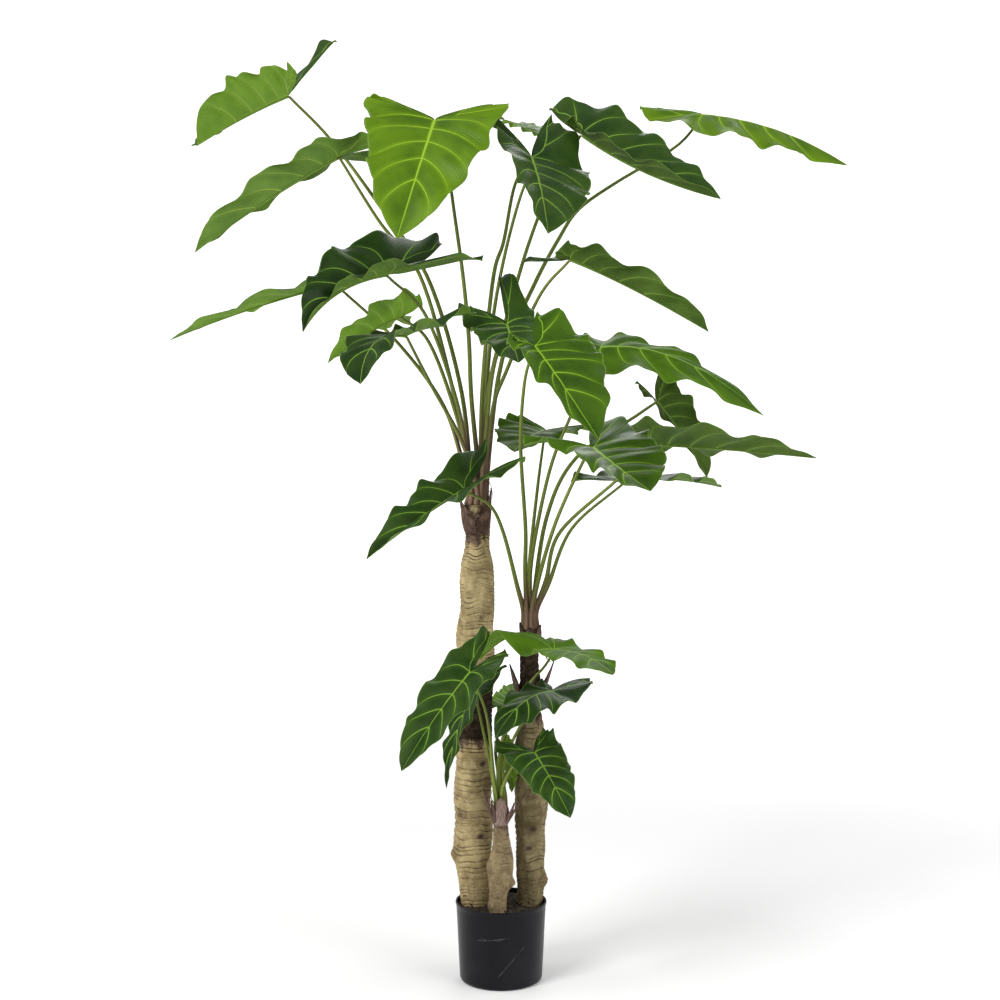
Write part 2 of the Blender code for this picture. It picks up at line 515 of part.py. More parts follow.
def petiole_path(leaf, crown, radii):
    """Path and radii of a petiole: upright foot, the points given, then under the midrib."""
    turn, ring = leaf[1:3]
    x, y, z, _ = crown
    angle = math.radians(turn)
    foot = Vector((x + ring * math.cos(angle), y + ring * math.sin(angle), z + SEAT_GAP))
    junction, _, _, up = midrib_frame(leaf, 0.0)
    below = junction - up * (radii[1] * 0.9 + BLADE_THICKNESS)
    guide = [foot, foot + Vector((0, 0, PETIOLE_UPRIGHT))] + [Vector(p) for p in leaf[10]] + [below]
    path = [foot]
    for i in range(1, PETIOLE_RINGS + 1):
        path.append(spline(guide, 1 + (len(guide) - 2) * (i - 1) / (PETIOLE_RINGS - 1)))
    size = [radii[0] + (radii[1] - radii[0]) * i / PETIOLE_RINGS for i in range(PETIOLE_RINGS + 1)]
    reach = min(0.035 / blade_length(leaf), 0.2)
    for share, drop, slim in ((0.5, 0.50, 0.75), (1.0, 0.0, 0.32)):
        here, _, _, up = midrib_frame(leaf, share * reach)
        path.append(here - up * (drop * radii[1] + 0.6 * BLADE_THICKNESS))
        size.append(radii[1] * slim)
    return path, size


def build_leaf(leaf, crown, radii, material):
    blade = build_blade(leaf[0], leaf, material)
    path, size = petiole_path(leaf, crown, radii)
    join_solids(blade, tube("petiole", path, size, PETIOLE_SIDES, material))
    return blade


def build_husk(name, centre, radius, height, flare, first, material):
    """Dry sheath collar round a bundle or trunk: a thin cup with a ragged upper edge."""
    x, y, z = centre
    sides = len(HUSK_TEETH)
    vertices = []
    for inset in (0.0, HUSK_WALL):
        for row in range(3):
            for k in range(sides):
                angle = 2 * math.pi * k / sides
                tooth = HUSK_TEETH[(k + first) % sides]
                top = height * (0.62 + 0.38 * tooth)
                share = row / 2
                r = radius + HUSK_WALL - inset + flare * share * share * (0.4 + 0.6 * tooth)
                vertices.append(Vector((x + r * math.cos(angle), y + r * math.sin(angle), z + top * share)))
    faces = []
    inner = 3 * sides
    for k in range(sides):
        n = (k + 1) % sides
        for row in range(2):
            a = row * sides
            b = a + sides
            faces.append((a + k, a + n, b + n))
            faces.append((a + k, b + n, b + k))
            faces.append((inner + a + n, inner + a + k, inner + b + n))
            faces.append((inner + a + k, inner + b + k, inner + b + n))
        faces.append((n, k, inner + k, inner + n))
        faces.append((2 * sides + k, 2 * sides + n, inner + 2 * sides + n, inner + 2 * sides + k))
    return add_object(name, vertices, faces, material)


def main():
    for item in list(bpy.data.objects):
        bpy.data.objects.remove(item, do_unlink=True)
    black = make_material("black_plastic", (0.035, 0.036, 0.040), 0.50)
    earth = make_material("dark_fill", (0.040, 0.030, 0.022), 0.95)
    bark = make_material("tan_bark", (0.36, 0.28, 0.15), 0.85)
    husk = make_material("dry_husk", (0.16, 0.09, 0.06), 0.85)
    green = make_material("leaf_green", (0.045, 0.155, 0.035), 0.42)

    build_pot(black)
    build_soil(earth)
    build_trunk("trunk_tall", TALL_TRUNK, TALL_BURRS, TALL_RING_SPACING, bark)
    build_trunk("trunk_right", RIGHT_TRUNK, RIGHT_BURRS, RIGHT_RING_SPACING, bark)
    build_trunk("trunk_small", SMALL_TRUNK, SMALL_BURRS, SMALL_RING_SPACING, bark)
    crowns = (
        (TALL_LEAVES, TALL_TRUNK[-1], TALL_PETIOLE),
        (RIGHT_LEAVES, RIGHT_TRUNK[-1], RIGHT_PETIOLE),
        (SMALL_LEAVES, SMALL_TRUNK[-1], SMALL_PETIOLE),
    )
    for leaves, crown, radii in crowns:
        for leaf in leaves:
            build_leaf(leaf, crown, radii, green)
    for collar in HUSKS:
        build_husk(*collar, husk)


main()
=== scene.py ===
"""Looks of the potted giant taro: fine blades with veins, ringed bark, dry husks, a scuffed pot."""

import math
from collections import namedtuple

import bpy
import numpy as np
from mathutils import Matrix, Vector


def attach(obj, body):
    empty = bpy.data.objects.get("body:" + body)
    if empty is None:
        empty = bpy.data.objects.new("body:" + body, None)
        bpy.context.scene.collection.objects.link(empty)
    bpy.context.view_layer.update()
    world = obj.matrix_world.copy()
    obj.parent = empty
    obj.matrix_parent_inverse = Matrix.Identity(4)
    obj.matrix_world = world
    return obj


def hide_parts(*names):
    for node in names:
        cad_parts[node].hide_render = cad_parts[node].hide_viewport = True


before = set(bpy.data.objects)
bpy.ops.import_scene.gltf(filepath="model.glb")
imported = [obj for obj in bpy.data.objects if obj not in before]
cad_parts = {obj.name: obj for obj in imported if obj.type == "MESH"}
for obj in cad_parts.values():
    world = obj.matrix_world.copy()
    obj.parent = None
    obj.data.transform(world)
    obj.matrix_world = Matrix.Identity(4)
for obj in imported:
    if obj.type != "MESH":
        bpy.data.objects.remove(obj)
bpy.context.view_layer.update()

# ---- Measures shared with the solids ----
POT_HEIGHT = 0.15
POT_RIM_RADIUS = 0.0855
POT_FOOT_RADIUS = 0.078
POT_WALL = 0.0022
SOIL_TOP = 0.14
SOIL_MOUND = 0.004
TALL_TRUNK = [
    (-0.047, 0.008, 0.14, 0.029), (-0.049, 0.008, 0.182, 0.0325), (-0.05, 0.008, 0.21, 0.034),
    (-0.053, 0.008, 0.283, 0.035), (-0.054, 0.008, 0.358, 0.0342), (-0.052, 0.008, 0.415, 0.0338),
    (-0.053, 0.008, 0.494, 0.036), (-0.05, 0.008, 0.59, 0.035), (-0.047, 0.008, 0.676, 0.0338),
    (-0.045, 0.008, 0.743, 0.0322), (-0.045, 0.008, 0.794, 0.0298), (-0.045, 0.008, 0.822, 0.0232),
    (-0.045, 0.008, 0.852, 0.0214), (-0.045, 0.008, 0.9, 0.0234),
]
RIGHT_TRUNK = [
    (0.054, 0.008, 0.14, 0.024), (0.056, 0.008, 0.21, 0.0255), (0.056, 0.008, 0.27, 0.0268),
    (0.0565, 0.008, 0.316, 0.0308), (0.0565, 0.008, 0.44, 0.0302), (0.056, 0.008, 0.485, 0.0225),
    (0.054, 0.008, 0.54, 0.0176), (0.054, 0.008, 0.62, 0.0172), (0.055, 0.008, 0.665, 0.018),
]
SMALL_TRUNK = [
    (-0.006, -0.045, 0.14, 0.0168), (-0.005, -0.045, 0.172, 0.0166), (-0.001, -0.045, 0.2, 0.0215),
    (0.0, -0.045, 0.232, 0.0235), (0.001, -0.045, 0.265, 0.0165), (0.0, -0.045, 0.3, 0.0128),
    (-0.001, -0.045, 0.318, 0.0128),
]
TALL_PETIOLE = (0.0045, 0.0025)
RIGHT_PETIOLE = (0.0044, 0.0024)
SMALL_PETIOLE = (0.0036, 0.0021)
PETIOLE_UPRIGHT = 0.035
FOOT_GAP = 0.0003
PETIOLE_SIDES = 10
PETIOLE_RINGS = 44
FLAP_THICK = 0.0008
LINE_STEPS = np.array([0.0, 0.32, 0.62, 0.86, 1.0])
LINE_MARGIN = np.array([0.0, 0.75, 1.4, 2.0, 2.55, 3.1, 3.65, 4.2, 4.8, 5.45, 6.15, 7.0, 8.0])
LINE_MIDRIB = np.array([0.0, 0.075, 0.17, 0.28, 0.4, 0.53, 0.67, 0.83, 1.0])

# Tones of the blades' upper sides and undersides: the leaf's own green with painted light and shade, brighter
# tones on leaves the light falls on and darker ones on shaded leaves
BRIGHT, RICH, MID, DARK, DEEP = range(5)
PALE, PLAIN, DULL = range(3)

# Every leaf: foot angle and foot ring radius of the stalk, junction, middle and tip of the midrib, the
# way the upper side faces, plan, bend, wave, the points on the stalk's way up and the two tones
Leaf = namedtuple("Leaf", "name turn ring junction middle tip face plan bend wave route upper lower")
TALL_LEAVES = [
    ("leaf_tall_1", 135, 0.018, (-0.395, 0.0, 1.66), (-0.465, -0.08, 1.605), (-0.535, -0.16, 1.54),
     (-0.2, 0.5, 0.8), (0.086, 0.086, 0.04, 12, 0.205, -3, 1.5), (42, 42, 0.0, -20, 0), (0.008, 0.3),
     [(-0.075, 0.02, 1.115), (-0.135, 0.02, 1.32), (-0.22, 0.035, 1.45), (-0.32, 0.035, 1.585)], DARK, PALE),
    ("leaf_tall_2", 170, 0.0084, (-0.295, -0.07, 1.535), (-0.415, -0.13, 1.45), (-0.535, -0.19, 1.35),
     (-0.1, 0.57, 0.8), (0.054, 0.054, 0.09, 0, 0.12, 34, 0.6), (45, 45, 0.0, 14, 0), (0.009, 1.1),
     [(-0.09, 0.0, 1.115), (-0.15, 0.0, 1.325), (-0.225, -0.03, 1.425)], DARK, PLAIN),
    ("leaf_tall_3", 314, 0.0084, (-0.12, -0.08, 1.6), (-0.145, -0.16, 1.5), (-0.18, -0.22, 1.37),
     (0.0, -0.8, 0.6), (0.104, 0.108, 0.112, 62, 0.105, 74, 0.0), (12, 12, 0.0, 0, 0), (0.008, 2.0),
     [(-0.055, -0.01, 1.095), (-0.06, -0.01, 1.21), (-0.07, -0.015, 1.32),
      (-0.085, -0.015, 1.43), (-0.1, -0.03, 1.53)], BRIGHT, PALE),
    ("leaf_tall_4", 232, 0.018, (-0.2, -0.155, 1.315), (-0.28, -0.24, 1.275), (-0.335, -0.29, 1.205),
     (-0.1, -0.7, 0.7), (0.045, 0.08, 0.19, 16, 0.165, 24, -0.6), (70, 40, 0.0, 5, 0), (0.009, 0.8),
     [(-0.08, -0.04, 1.085), (-0.135, -0.11, 1.245)], DEEP, PLAIN),
    ("leaf_tall_5", 180, 0.018, (-0.31, 0.01, 1.315), (-0.465, -0.02, 1.265), (-0.61, -0.05, 1.205),
     (0.0, 0.05, 1.0), (0.075, 0.075, 0.09, 35, 0.1, 35, 0.2), (12, 12, 0.0, 0, 0), (0.008, 1.7),
     [(-0.105, 0.005, 1.08), (-0.195, 0.015, 1.205)], MID, PALE),
    ("leaf_tall_6", 242, 0.0084, (-0.185, -0.03, 1.25), (-0.245, -0.08, 1.215), (-0.31, -0.13, 1.16),
     (-0.2, 0.5, 0.85), (0.063, 0.05, 0.05, 22, 0.06, 30, 0.3), (22, 22, 0.0, 8, 0), (0.007, 2.6),
     [(-0.09, -0.02, 1.09), (-0.135, -0.03, 1.205)], MID, PALE),
    ("leaf_tall_7", 268, 0.018, (-0.165, -0.19, 1.205), (-0.215, -0.29, 1.185), (-0.23, -0.38, 1.115),
     (-0.3, -0.22, 0.92), (0.065, 0.065, 0.118, 38, 0.08, 40, 0.2), (12, 12, 0.2, -26, 0), (0.009, 0.2),
     [(-0.075, -0.045, 1.025), (-0.125, -0.12, 1.12)], DEEP, PLAIN),
    ("leaf_tall_8", 300, 0.018, (0.01, -0.12, 1.23), (0.02, -0.19, 1.195), (0.03, -0.26, 1.155),
     (-0.05, -0.68, 0.73), (0.052, 0.065, 0.138, 3, 0.078, 60, 0.0), (14, 14, 0.2, -28, 0), (0.008, 1.4),
     [(-0.02, -0.05, 1.115), (-0.005, -0.09, 1.185)], DARK, PLAIN),
    ("leaf_tall_9", 26, 0.0084, (0.055, -0.045, 1.54), (0.07, -0.17, 1.46), (0.08, -0.25, 1.375),
     (0.45, -0.62, 0.6), (0.1, 0.064, 0.1, 16, 0.084, 74, -0.3), (16, 16, 0.0, -26, 0), (0.008, 0.6),
     [(-0.035, 0.0, 1.115), (-0.015, -0.01, 1.32), (0.005, -0.02, 1.39), (0.025, -0.03, 1.49)], DARK, PLAIN),
    ("leaf_tall_10", 98, 0.0084, (0.15, 0.03, 1.595), (0.265, -0.03, 1.515), (0.4, -0.07, 1.46),
     (-0.1, -0.32, 0.94), (0.1, 0.056, 0.105, 14, 0.035, 20, 0.1), (33, 58, 0.0, 12, 0), (0.008, 2.2),
     [(-0.02, 0.03, 1.135), (0.02, 0.045, 1.285), (0.055, 0.045, 1.4), (0.095, 0.04, 1.5)], DARK, DULL),
    ("leaf_tall_11", 25, 0.018, (0.39, 0.12, 1.65), (0.525, 0.07, 1.61), (0.65, 0.02, 1.535),
     (0.0, -0.3, 0.95), (0.085, 0.085, 0.125, 30, 0.125, 30, 0.2), (-34, -18, 0.0, -12, 0), (0.008, 1.0),
     [(0.0, 0.03, 1.165), (0.06, 0.06, 1.31), (0.11, 0.08, 1.405),
      (0.15, 0.1, 1.465), (0.225, 0.12, 1.52), (0.34, 0.13, 1.59)], BRIGHT, PALE),
    ("leaf_tall_12", 342, 0.018, (0.125, -0.08, 1.35), (0.235, -0.11, 1.295), (0.37, -0.14, 1.215),
     (0.0, 0.3, 0.95), (0.046, 0.054, 0.12, 22, 0.035, 20, 1.1), (60, 45, 0.0, 28, 0), (0.008, 2.9),
     [(-0.015, -0.005, 1.08), (0.01, -0.01, 1.15), (0.07, -0.05, 1.285)], DARK, DULL),
    ("leaf_tall_13", 80, 0.018, (0.09, 0.16, 1.62), (0.045, 0.26, 1.655), (0.0, 0.36, 1.68),
     (0.0, 0.0, 1.0), (0.045, 0.045, 0.06, 35, 0.06, 35, 0.0), (6, 6, 0.0, 0, 0), (0.004, 0.4),
     [(-0.03, 0.045, 1.095), (-0.01, 0.085, 1.29), (0.035, 0.13, 1.485)], MID, PALE),
]
RIGHT_LEAVES = [
    ("leaf_right_1", 240, 0.0125, (0.055, -0.33, 1.18), (0.095, -0.4, 1.12), (0.155, -0.45, 1.025),
     (0.35, -0.75, 0.55), (0.095, 0.048, 0.095, 16, 0.04, 102, 0.1), (18, 18, 0.1, -20, 0), (0.009, 1.9),
     [(0.045, -0.025, 0.78), (0.045, -0.06, 0.86), (0.035, -0.14, 1.01), (0.04, -0.24, 1.12)], RICH, PALE),
    ("leaf_right_2", 0, 0.0, (0.18, -0.1, 1.19), (0.32, -0.14, 1.165), (0.465, -0.17, 1.065),
     (0.0, -0.22, 0.97), (0.06, 0.085, 0.085, 35, 0.085, 35, 0.1), (12, -32, 0.0, 0, -18), (0.009, 0.9),
     [(0.055, 0.01, 0.775), (0.07, 0.005, 0.87), (0.095, -0.02, 0.98), (0.13, -0.05, 1.07)], MID, PALE),
    ("leaf_right_3", 65, 0.0125, (0.295, 0.03, 1.095), (0.345, 0.04, 1.03), (0.39, 0.03, 0.95),
     (0.65, 0.7, 0.3), (0.034, 0.056, 0.06, 30, 0.055, 40, 0.2), (44, 44, 0.0, 0, 0), (0.008, 2.4),
     [(0.085, 0.025, 0.87), (0.14, 0.03, 0.985), (0.26, 0.03, 1.07)], DARK, DULL),
    ("leaf_right_4", 330, 0.0125, (0.275, -0.07, 1.015), (0.415, -0.11, 1.005), (0.565, -0.14, 0.99),
     (0.0, 0.35, 0.93), (0.069, 0.069, 0.08, 30, 0.08, 30, -0.2), (20, 20, 0.0, 10, 0), (0.008, 0.1),
     [(0.085, -0.005, 0.76), (0.11, -0.02, 0.85), (0.215, -0.055, 0.95)], DARK, DULL),
    ("leaf_right_5", 285, 0.0125, (0.16, -0.2, 1.01), (0.2, -0.3, 0.975), (0.245, -0.38, 0.94),
     (0.1, -0.52, 0.85), (0.098, 0.058, 0.112, 28, 0.115, 76, 0.1), (15, 15, 0.15, -6, 0), (0.008, 1.5),
     [(0.07, -0.035, 0.765), (0.1, -0.1, 0.875), (0.145, -0.175, 0.985)], RICH, PLAIN),
    ("leaf_right_6", 115, 0.0125, (0.085, 0.1, 1.04), (0.05, 0.02, 1.025), (0.025, -0.06, 1.0),
     (-0.1, -0.45, 0.88), (0.075, 0.075, 0.085, 62, 0.085, 58, 0.0), (12, 12, 0.0, 0, 0), (0.007, 2.8),
     [(0.055, 0.04, 0.795), (0.07, 0.065, 0.93)], MID, PALE),
    ("leaf_right_7", 20, 0.0125, (0.235, 0.03, 0.945), (0.335, 0.12, 0.945), (0.445, 0.22, 0.925),
     (0.0, -0.03, 1.0), (0.07, 0.07, 0.1, 40, 0.105, 35, 0.0), (8, 8, 0.0, 0, 0), (0.008, 0.7),
     [(0.09, 0.015, 0.75), (0.135, 0.025, 0.855)], DARK, PLAIN),
    ("leaf_right_8", 190, 0.0125, (-0.065, -0.16, 0.935), (-0.145, -0.23, 0.885), (-0.23, -0.28, 0.82),
     (-0.1, -0.35, 0.93), (0.061, 0.055, 0.12, 36, 0.14, 26, -0.2), (36, 36, 0.1, -7, 0), (0.008, 2.1),
     [(0.03, -0.03, 0.75), (0.005, -0.08, 0.85), (-0.02, -0.13, 0.905)], DARK, PLAIN),
]
SMALL_LEAVES = [
    ("leaf_small_1", 225, 0.0086, (-0.055, -0.17, 0.61), (-0.115, -0.24, 0.54), (-0.17, -0.3, 0.46),
     (-0.25, -0.75, 0.6), (0.051, 0.051, 0.072, 32, 0.098, 12, 0.2), (25, 25, 0.0, 0, 0), (0.007, 0.5),
     [(-0.015, -0.065, 0.41), (-0.02, -0.09, 0.475), (-0.03, -0.13, 0.54)], DARK, PLAIN),
    ("leaf_small_2", 170, 0.0086, (-0.05, -0.08, 0.56), (-0.085, -0.095, 0.475), (-0.1, -0.1, 0.385),
     (-0.6, -0.65, 0.2), (0.024, 0.024, 0.08, 35, 0.06, 30, -0.5), (22, 22, 0.0, 0, 0), (0.006, 1.8),
     [(-0.02, -0.05, 0.42), (-0.03, -0.06, 0.47)], DEEP, PLAIN),
    ("leaf_small_3", 0, 0.0, (0.095, -0.13, 0.645), (0.15, -0.22, 0.645), (0.19, -0.3, 0.625),
     (0.05, -0.08, 1.0), (0.042, 0.065, 0.08, 30, 0.14, 32, 0.2), (0, 0, 1.6, -50, 0), (0.007, 2.7),
     [(-0.005, -0.045, 0.415), (0.01, -0.045, 0.49), (0.045, -0.05, 0.56), (0.08, -0.095, 0.61)], MID, PALE),
    ("leaf_small_4", 350, 0.0086, (0.09, -0.13, 0.57), (0.035, -0.24, 0.565), (-0.01, -0.32, 0.52),
     (-0.05, -0.5, 0.85), (0.046, 0.048, 0.11, 8, 0.05, 42, -0.2), (-18, -18, 0.2, -24, 0), (0.008, 1.2),
     [(0.005, -0.04, 0.415), (0.04, -0.06, 0.5)], DEEP, PLAIN),
    ("leaf_small_5", 290, 0.0086, (0.06, -0.14, 0.46), (0.09, -0.2, 0.42), (0.12, -0.26, 0.37),
     (0.05, -0.75, 0.65), (0.045, 0.05, 0.055, 40, 0.07, 45, 0.1), (15, 15, 0.0, 0, 0), (0.006, 0.2),
     [(0.005, -0.07, 0.385), (0.025, -0.1, 0.43)], DARK, PLAIN),
    ("leaf_small_6", 100, 0.0086, (0.01, 0.1, 0.505), (0.02, 0.17, 0.515), (0.025, 0.24, 0.525),
     (0.0, 0.0, 1.0), (0.032, 0.032, 0.035, 35, 0.035, 35, 0.0), (12, 12, 0.0, 0, 0), (0.004, 2.5),
     [(-0.005, -0.005, 0.39), (-0.01, 0.03, 0.44)], MID, PALE),
    ("leaf_small_7", 50, 0.0086, (0.005, 0.0, 0.44), (0.015, -0.01, 0.4), (0.02, -0.02, 0.36),
     (0.5, 0.6, 0.4), (0.022, 0.022, 0.03, 30, 0.03, 30, 0.0), (15, 15, 0.0, 0, 0), (0.003, 1.6),
     [(0.0, -0.03, 0.385)], MID, PALE),
]

# ---- Node materials ----


class Net:
    """Small helper that wires one Principled material."""

    def __init__(self, name):
        self.material = bpy.data.materials.new(name)
        self.material.use_nodes = True
        self.tree = self.material.node_tree
        self.shader = self.tree.nodes["Principled BSDF"]

    def put(self, socket, value):
        if isinstance(value, bpy.types.NodeSocket):
            self.tree.links.new(value, socket)
        elif isinstance(value, (tuple, list)) and len(value) == 3 and socket.type == "RGBA":
            socket.default_value = (*value, 1.0)
        else:
            socket.default_value = value

    def math(self, operation, *values):
        node = self.tree.nodes.new("ShaderNodeMath")
        node.operation = operation
        for socket, value in zip(node.inputs, values):
            self.put(socket, value)
        return node.outputs[0]

    def add(self, a, b):
        return self.math("ADD", a, b)

    def sub(self, a, b):
        return self.math("SUBTRACT", a, b)

    def mul(self, a, b):
        return self.math("MULTIPLY", a, b)

    def off_whole(self, value):
        """Distance from the nearest whole number."""
        return self.math("ABSOLUTE", self.sub(value, self.math("ROUND", value)))

    def ramp(self, value, low, high, start=0.0, end=1.0):
        """Value between low and high turned smoothly into start to end, held outside."""
        node = self.tree.nodes.new("ShaderNodeMapRange")
        node.interpolation_type = "SMOOTHSTEP"
        for name, v in (("Value", value), ("From Min", low), ("From Max", high), ("To Min", start),
                        ("To Max", end)):
            self.put(node.inputs[name], v)
        return node.outputs[0]

    def mix(self, factor, a, b):
        node = self.tree.nodes.new("ShaderNodeMix")
        node.data_type = "RGBA"
        self.put(node.inputs["Factor"], factor)
        self.put(node.inputs[6], a)
        self.put(node.inputs[7], b)
        return node.outputs[2]

    def uv(self, layer):
        node = self.tree.nodes.new("ShaderNodeUVMap")
        node.uv_map = layer
        return self.split(node.outputs[0])[:2]

    def place(self):
        node = self.tree.nodes.new("ShaderNodeTexCoord")
        return node.outputs["Object"]

    def split(self, vector):
        node = self.tree.nodes.new("ShaderNodeSeparateXYZ")
        self.tree.links.new(vector, node.inputs[0])
        return node.outputs

    def join(self, x, y, z=0.0):
        node = self.tree.nodes.new("ShaderNodeCombineXYZ")
        for socket, value in zip(node.inputs, (x, y, z)):
            self.put(socket, value)
        return node.outputs[0]

    def noise(self, vector, scale, detail=3.0, rough=0.5):
        node = self.tree.nodes.new("ShaderNodeTexNoise")
        node.inputs["Scale"].default_value = scale
        node.inputs["Detail"].default_value = detail
        node.inputs["Roughness"].default_value = rough
        self.tree.links.new(vector, node.inputs["Vector"])
        return node.outputs["Fac"]

    def bump(self, height, distance):
        node = self.tree.nodes.new("ShaderNodeBump")
        node.inputs["Distance"].default_value = distance
        self.put(node.inputs["Height"], height)
        return node.outputs[0]

    def finish(self, colour, roughness, normal=None, specular=0.5):
        self.put(self.shader.inputs["Base Color"], colour)
        self.put(self.shader.inputs["Roughness"], roughness)
        self.shader.inputs["Specular IOR Level"].default_value = specular
        if normal is not None:
            self.put(self.shader.inputs["Normal"], normal)
        return self.material


def leaf_skin(name, low, high, vein, halo, rough, margin_glow=0.35, gloss=0.12):
    """Blade surface: side veins at whole numbers of the first map, ribs where the second is nought."""
    net = Net(name)
    order, pitch = net.uv("veins")
    rib, out = net.uv("ribs")
    side = net.mul(net.off_whole(order), pitch)
    reach = net.sub(0.0016, net.mul(out, 0.0011))
    side_vein = net.ramp(net.math("DIVIDE", side, reach), 0.45, 1.25, 1.0, 0.0)
    side_vein = net.mul(side_vein, net.ramp(out, 0.7, 0.97, 1.0, 0.15))
    keep = net.mul(net.ramp(order, 4.35, 4.65, 1.0, 0.0), net.ramp(rib, -1.2, -0.4))
    side_vein = net.mul(side_vein, keep)
    rib_mask = net.ramp(net.math("ABSOLUTE", rib), 0.7, 1.1, 1.0, 0.0)
    veins = net.math("MAXIMUM", side_vein, rib_mask)
    glow = net.mul(net.ramp(side, 0.0, 0.009, 1.0, 0.0), keep)
    glow = net.math("MAXIMUM", glow, net.ramp(net.math("ABSOLUTE", rib), 0.8, 2.8, 1.0, 0.0))
    small = net.ramp(net.off_whole(net.mul(order, 9.0)), 0.05, 0.42, 1.0, 0.0)
    spot = net.place()
    cloud = net.noise(spot, 17.0, 4.0, 0.55)
    patch = net.noise(spot, 7.0, 2.0)
    grain = net.noise(spot, 300.0, 2.0)
    colour = net.mix(net.ramp(cloud, 0.34, 0.66), low, high)
    pale = net.mul(net.ramp(out, 0.3, 0.98), net.ramp(patch, 0.36, 0.62, 0.35, 1.0))
    colour = net.mix(net.mul(pale, margin_glow), colour, halo)
    colour = net.mix(net.mul(small, 0.09), colour, halo)
    colour = net.mix(net.mul(glow, 0.45), colour, halo)
    colour = net.mix(net.mul(veins, 0.9), colour, vein)
    colour = net.mix(net.ramp(out, 0.97, 0.992, 0.0, 0.6), colour, LEAF_EDGE)
    height = net.add(net.mul(veins, 0.9), net.mul(small, -0.16))
    height = net.add(height, net.mul(grain, 0.05))
    height = net.add(height, net.mul(cloud, 0.9))
    normal = net.bump(height, 0.0012)
    shine = net.ramp(cloud, 0.3, 0.7, rough - 0.06, rough + 0.07)
    return net.finish(colour, shine, normal, gloss)


def petiole_skin():
    """Stalk: dull brown-purple sheath at the foot, olive green above, browner on the back; the paler
    front-left flank is a painted highlight and the darker back is painted shade.
    """
    net = Net("stalk_green")
    along, turn = net.uv("veins")
    rise, _ = net.uv("ribs")
    spot = net.place()
    streak = net.noise(net.join(net.mul(along, 5.0), net.mul(turn, 6.0)), 6.0, 4.0)
    flank = net.math("COSINE", net.mul(net.sub(turn, 0.64), 6.283))
    shade = net.ramp(flank, -0.7, 0.35, 0.6, 0.0)
    green = net.mix(net.ramp(streak, 0.35, 0.65), (0.06, 0.092, 0.014), (0.12, 0.165, 0.026))
    # painted highlight: paler green and paler brown on the front-left flank, where the key light falls
    green = net.mix(net.ramp(flank, 0.45, 0.98, 0.0, 0.75), green, (0.27, 0.33, 0.065))
    # painted shade: green and brown darkened on the back, away from the light
    green = net.mix(shade, green, (0.02, 0.03, 0.006))
    brown = net.mix(net.ramp(streak, 0.38, 0.66), (0.06, 0.03, 0.02), (0.175, 0.105, 0.062))
    brown = net.mix(net.ramp(flank, 0.5, 1.0, 0.0, 0.6), brown, (0.34, 0.23, 0.155))
    brown = net.mix(shade, brown, (0.016, 0.008, 0.007))
    rise = net.sub(rise, net.mul(net.sub(net.noise(spot, 24.0), 0.5), 0.5))
    rise = net.add(rise, net.mul(flank, 0.34))
    colour = net.mix(net.ramp(rise, 0.45, 1.05), brown, green)
    rough = net.ramp(along, 0.05, 0.2, 0.75, 0.48)
    return net.finish(colour, rough, net.bump(streak, 0.0008), 0.15)


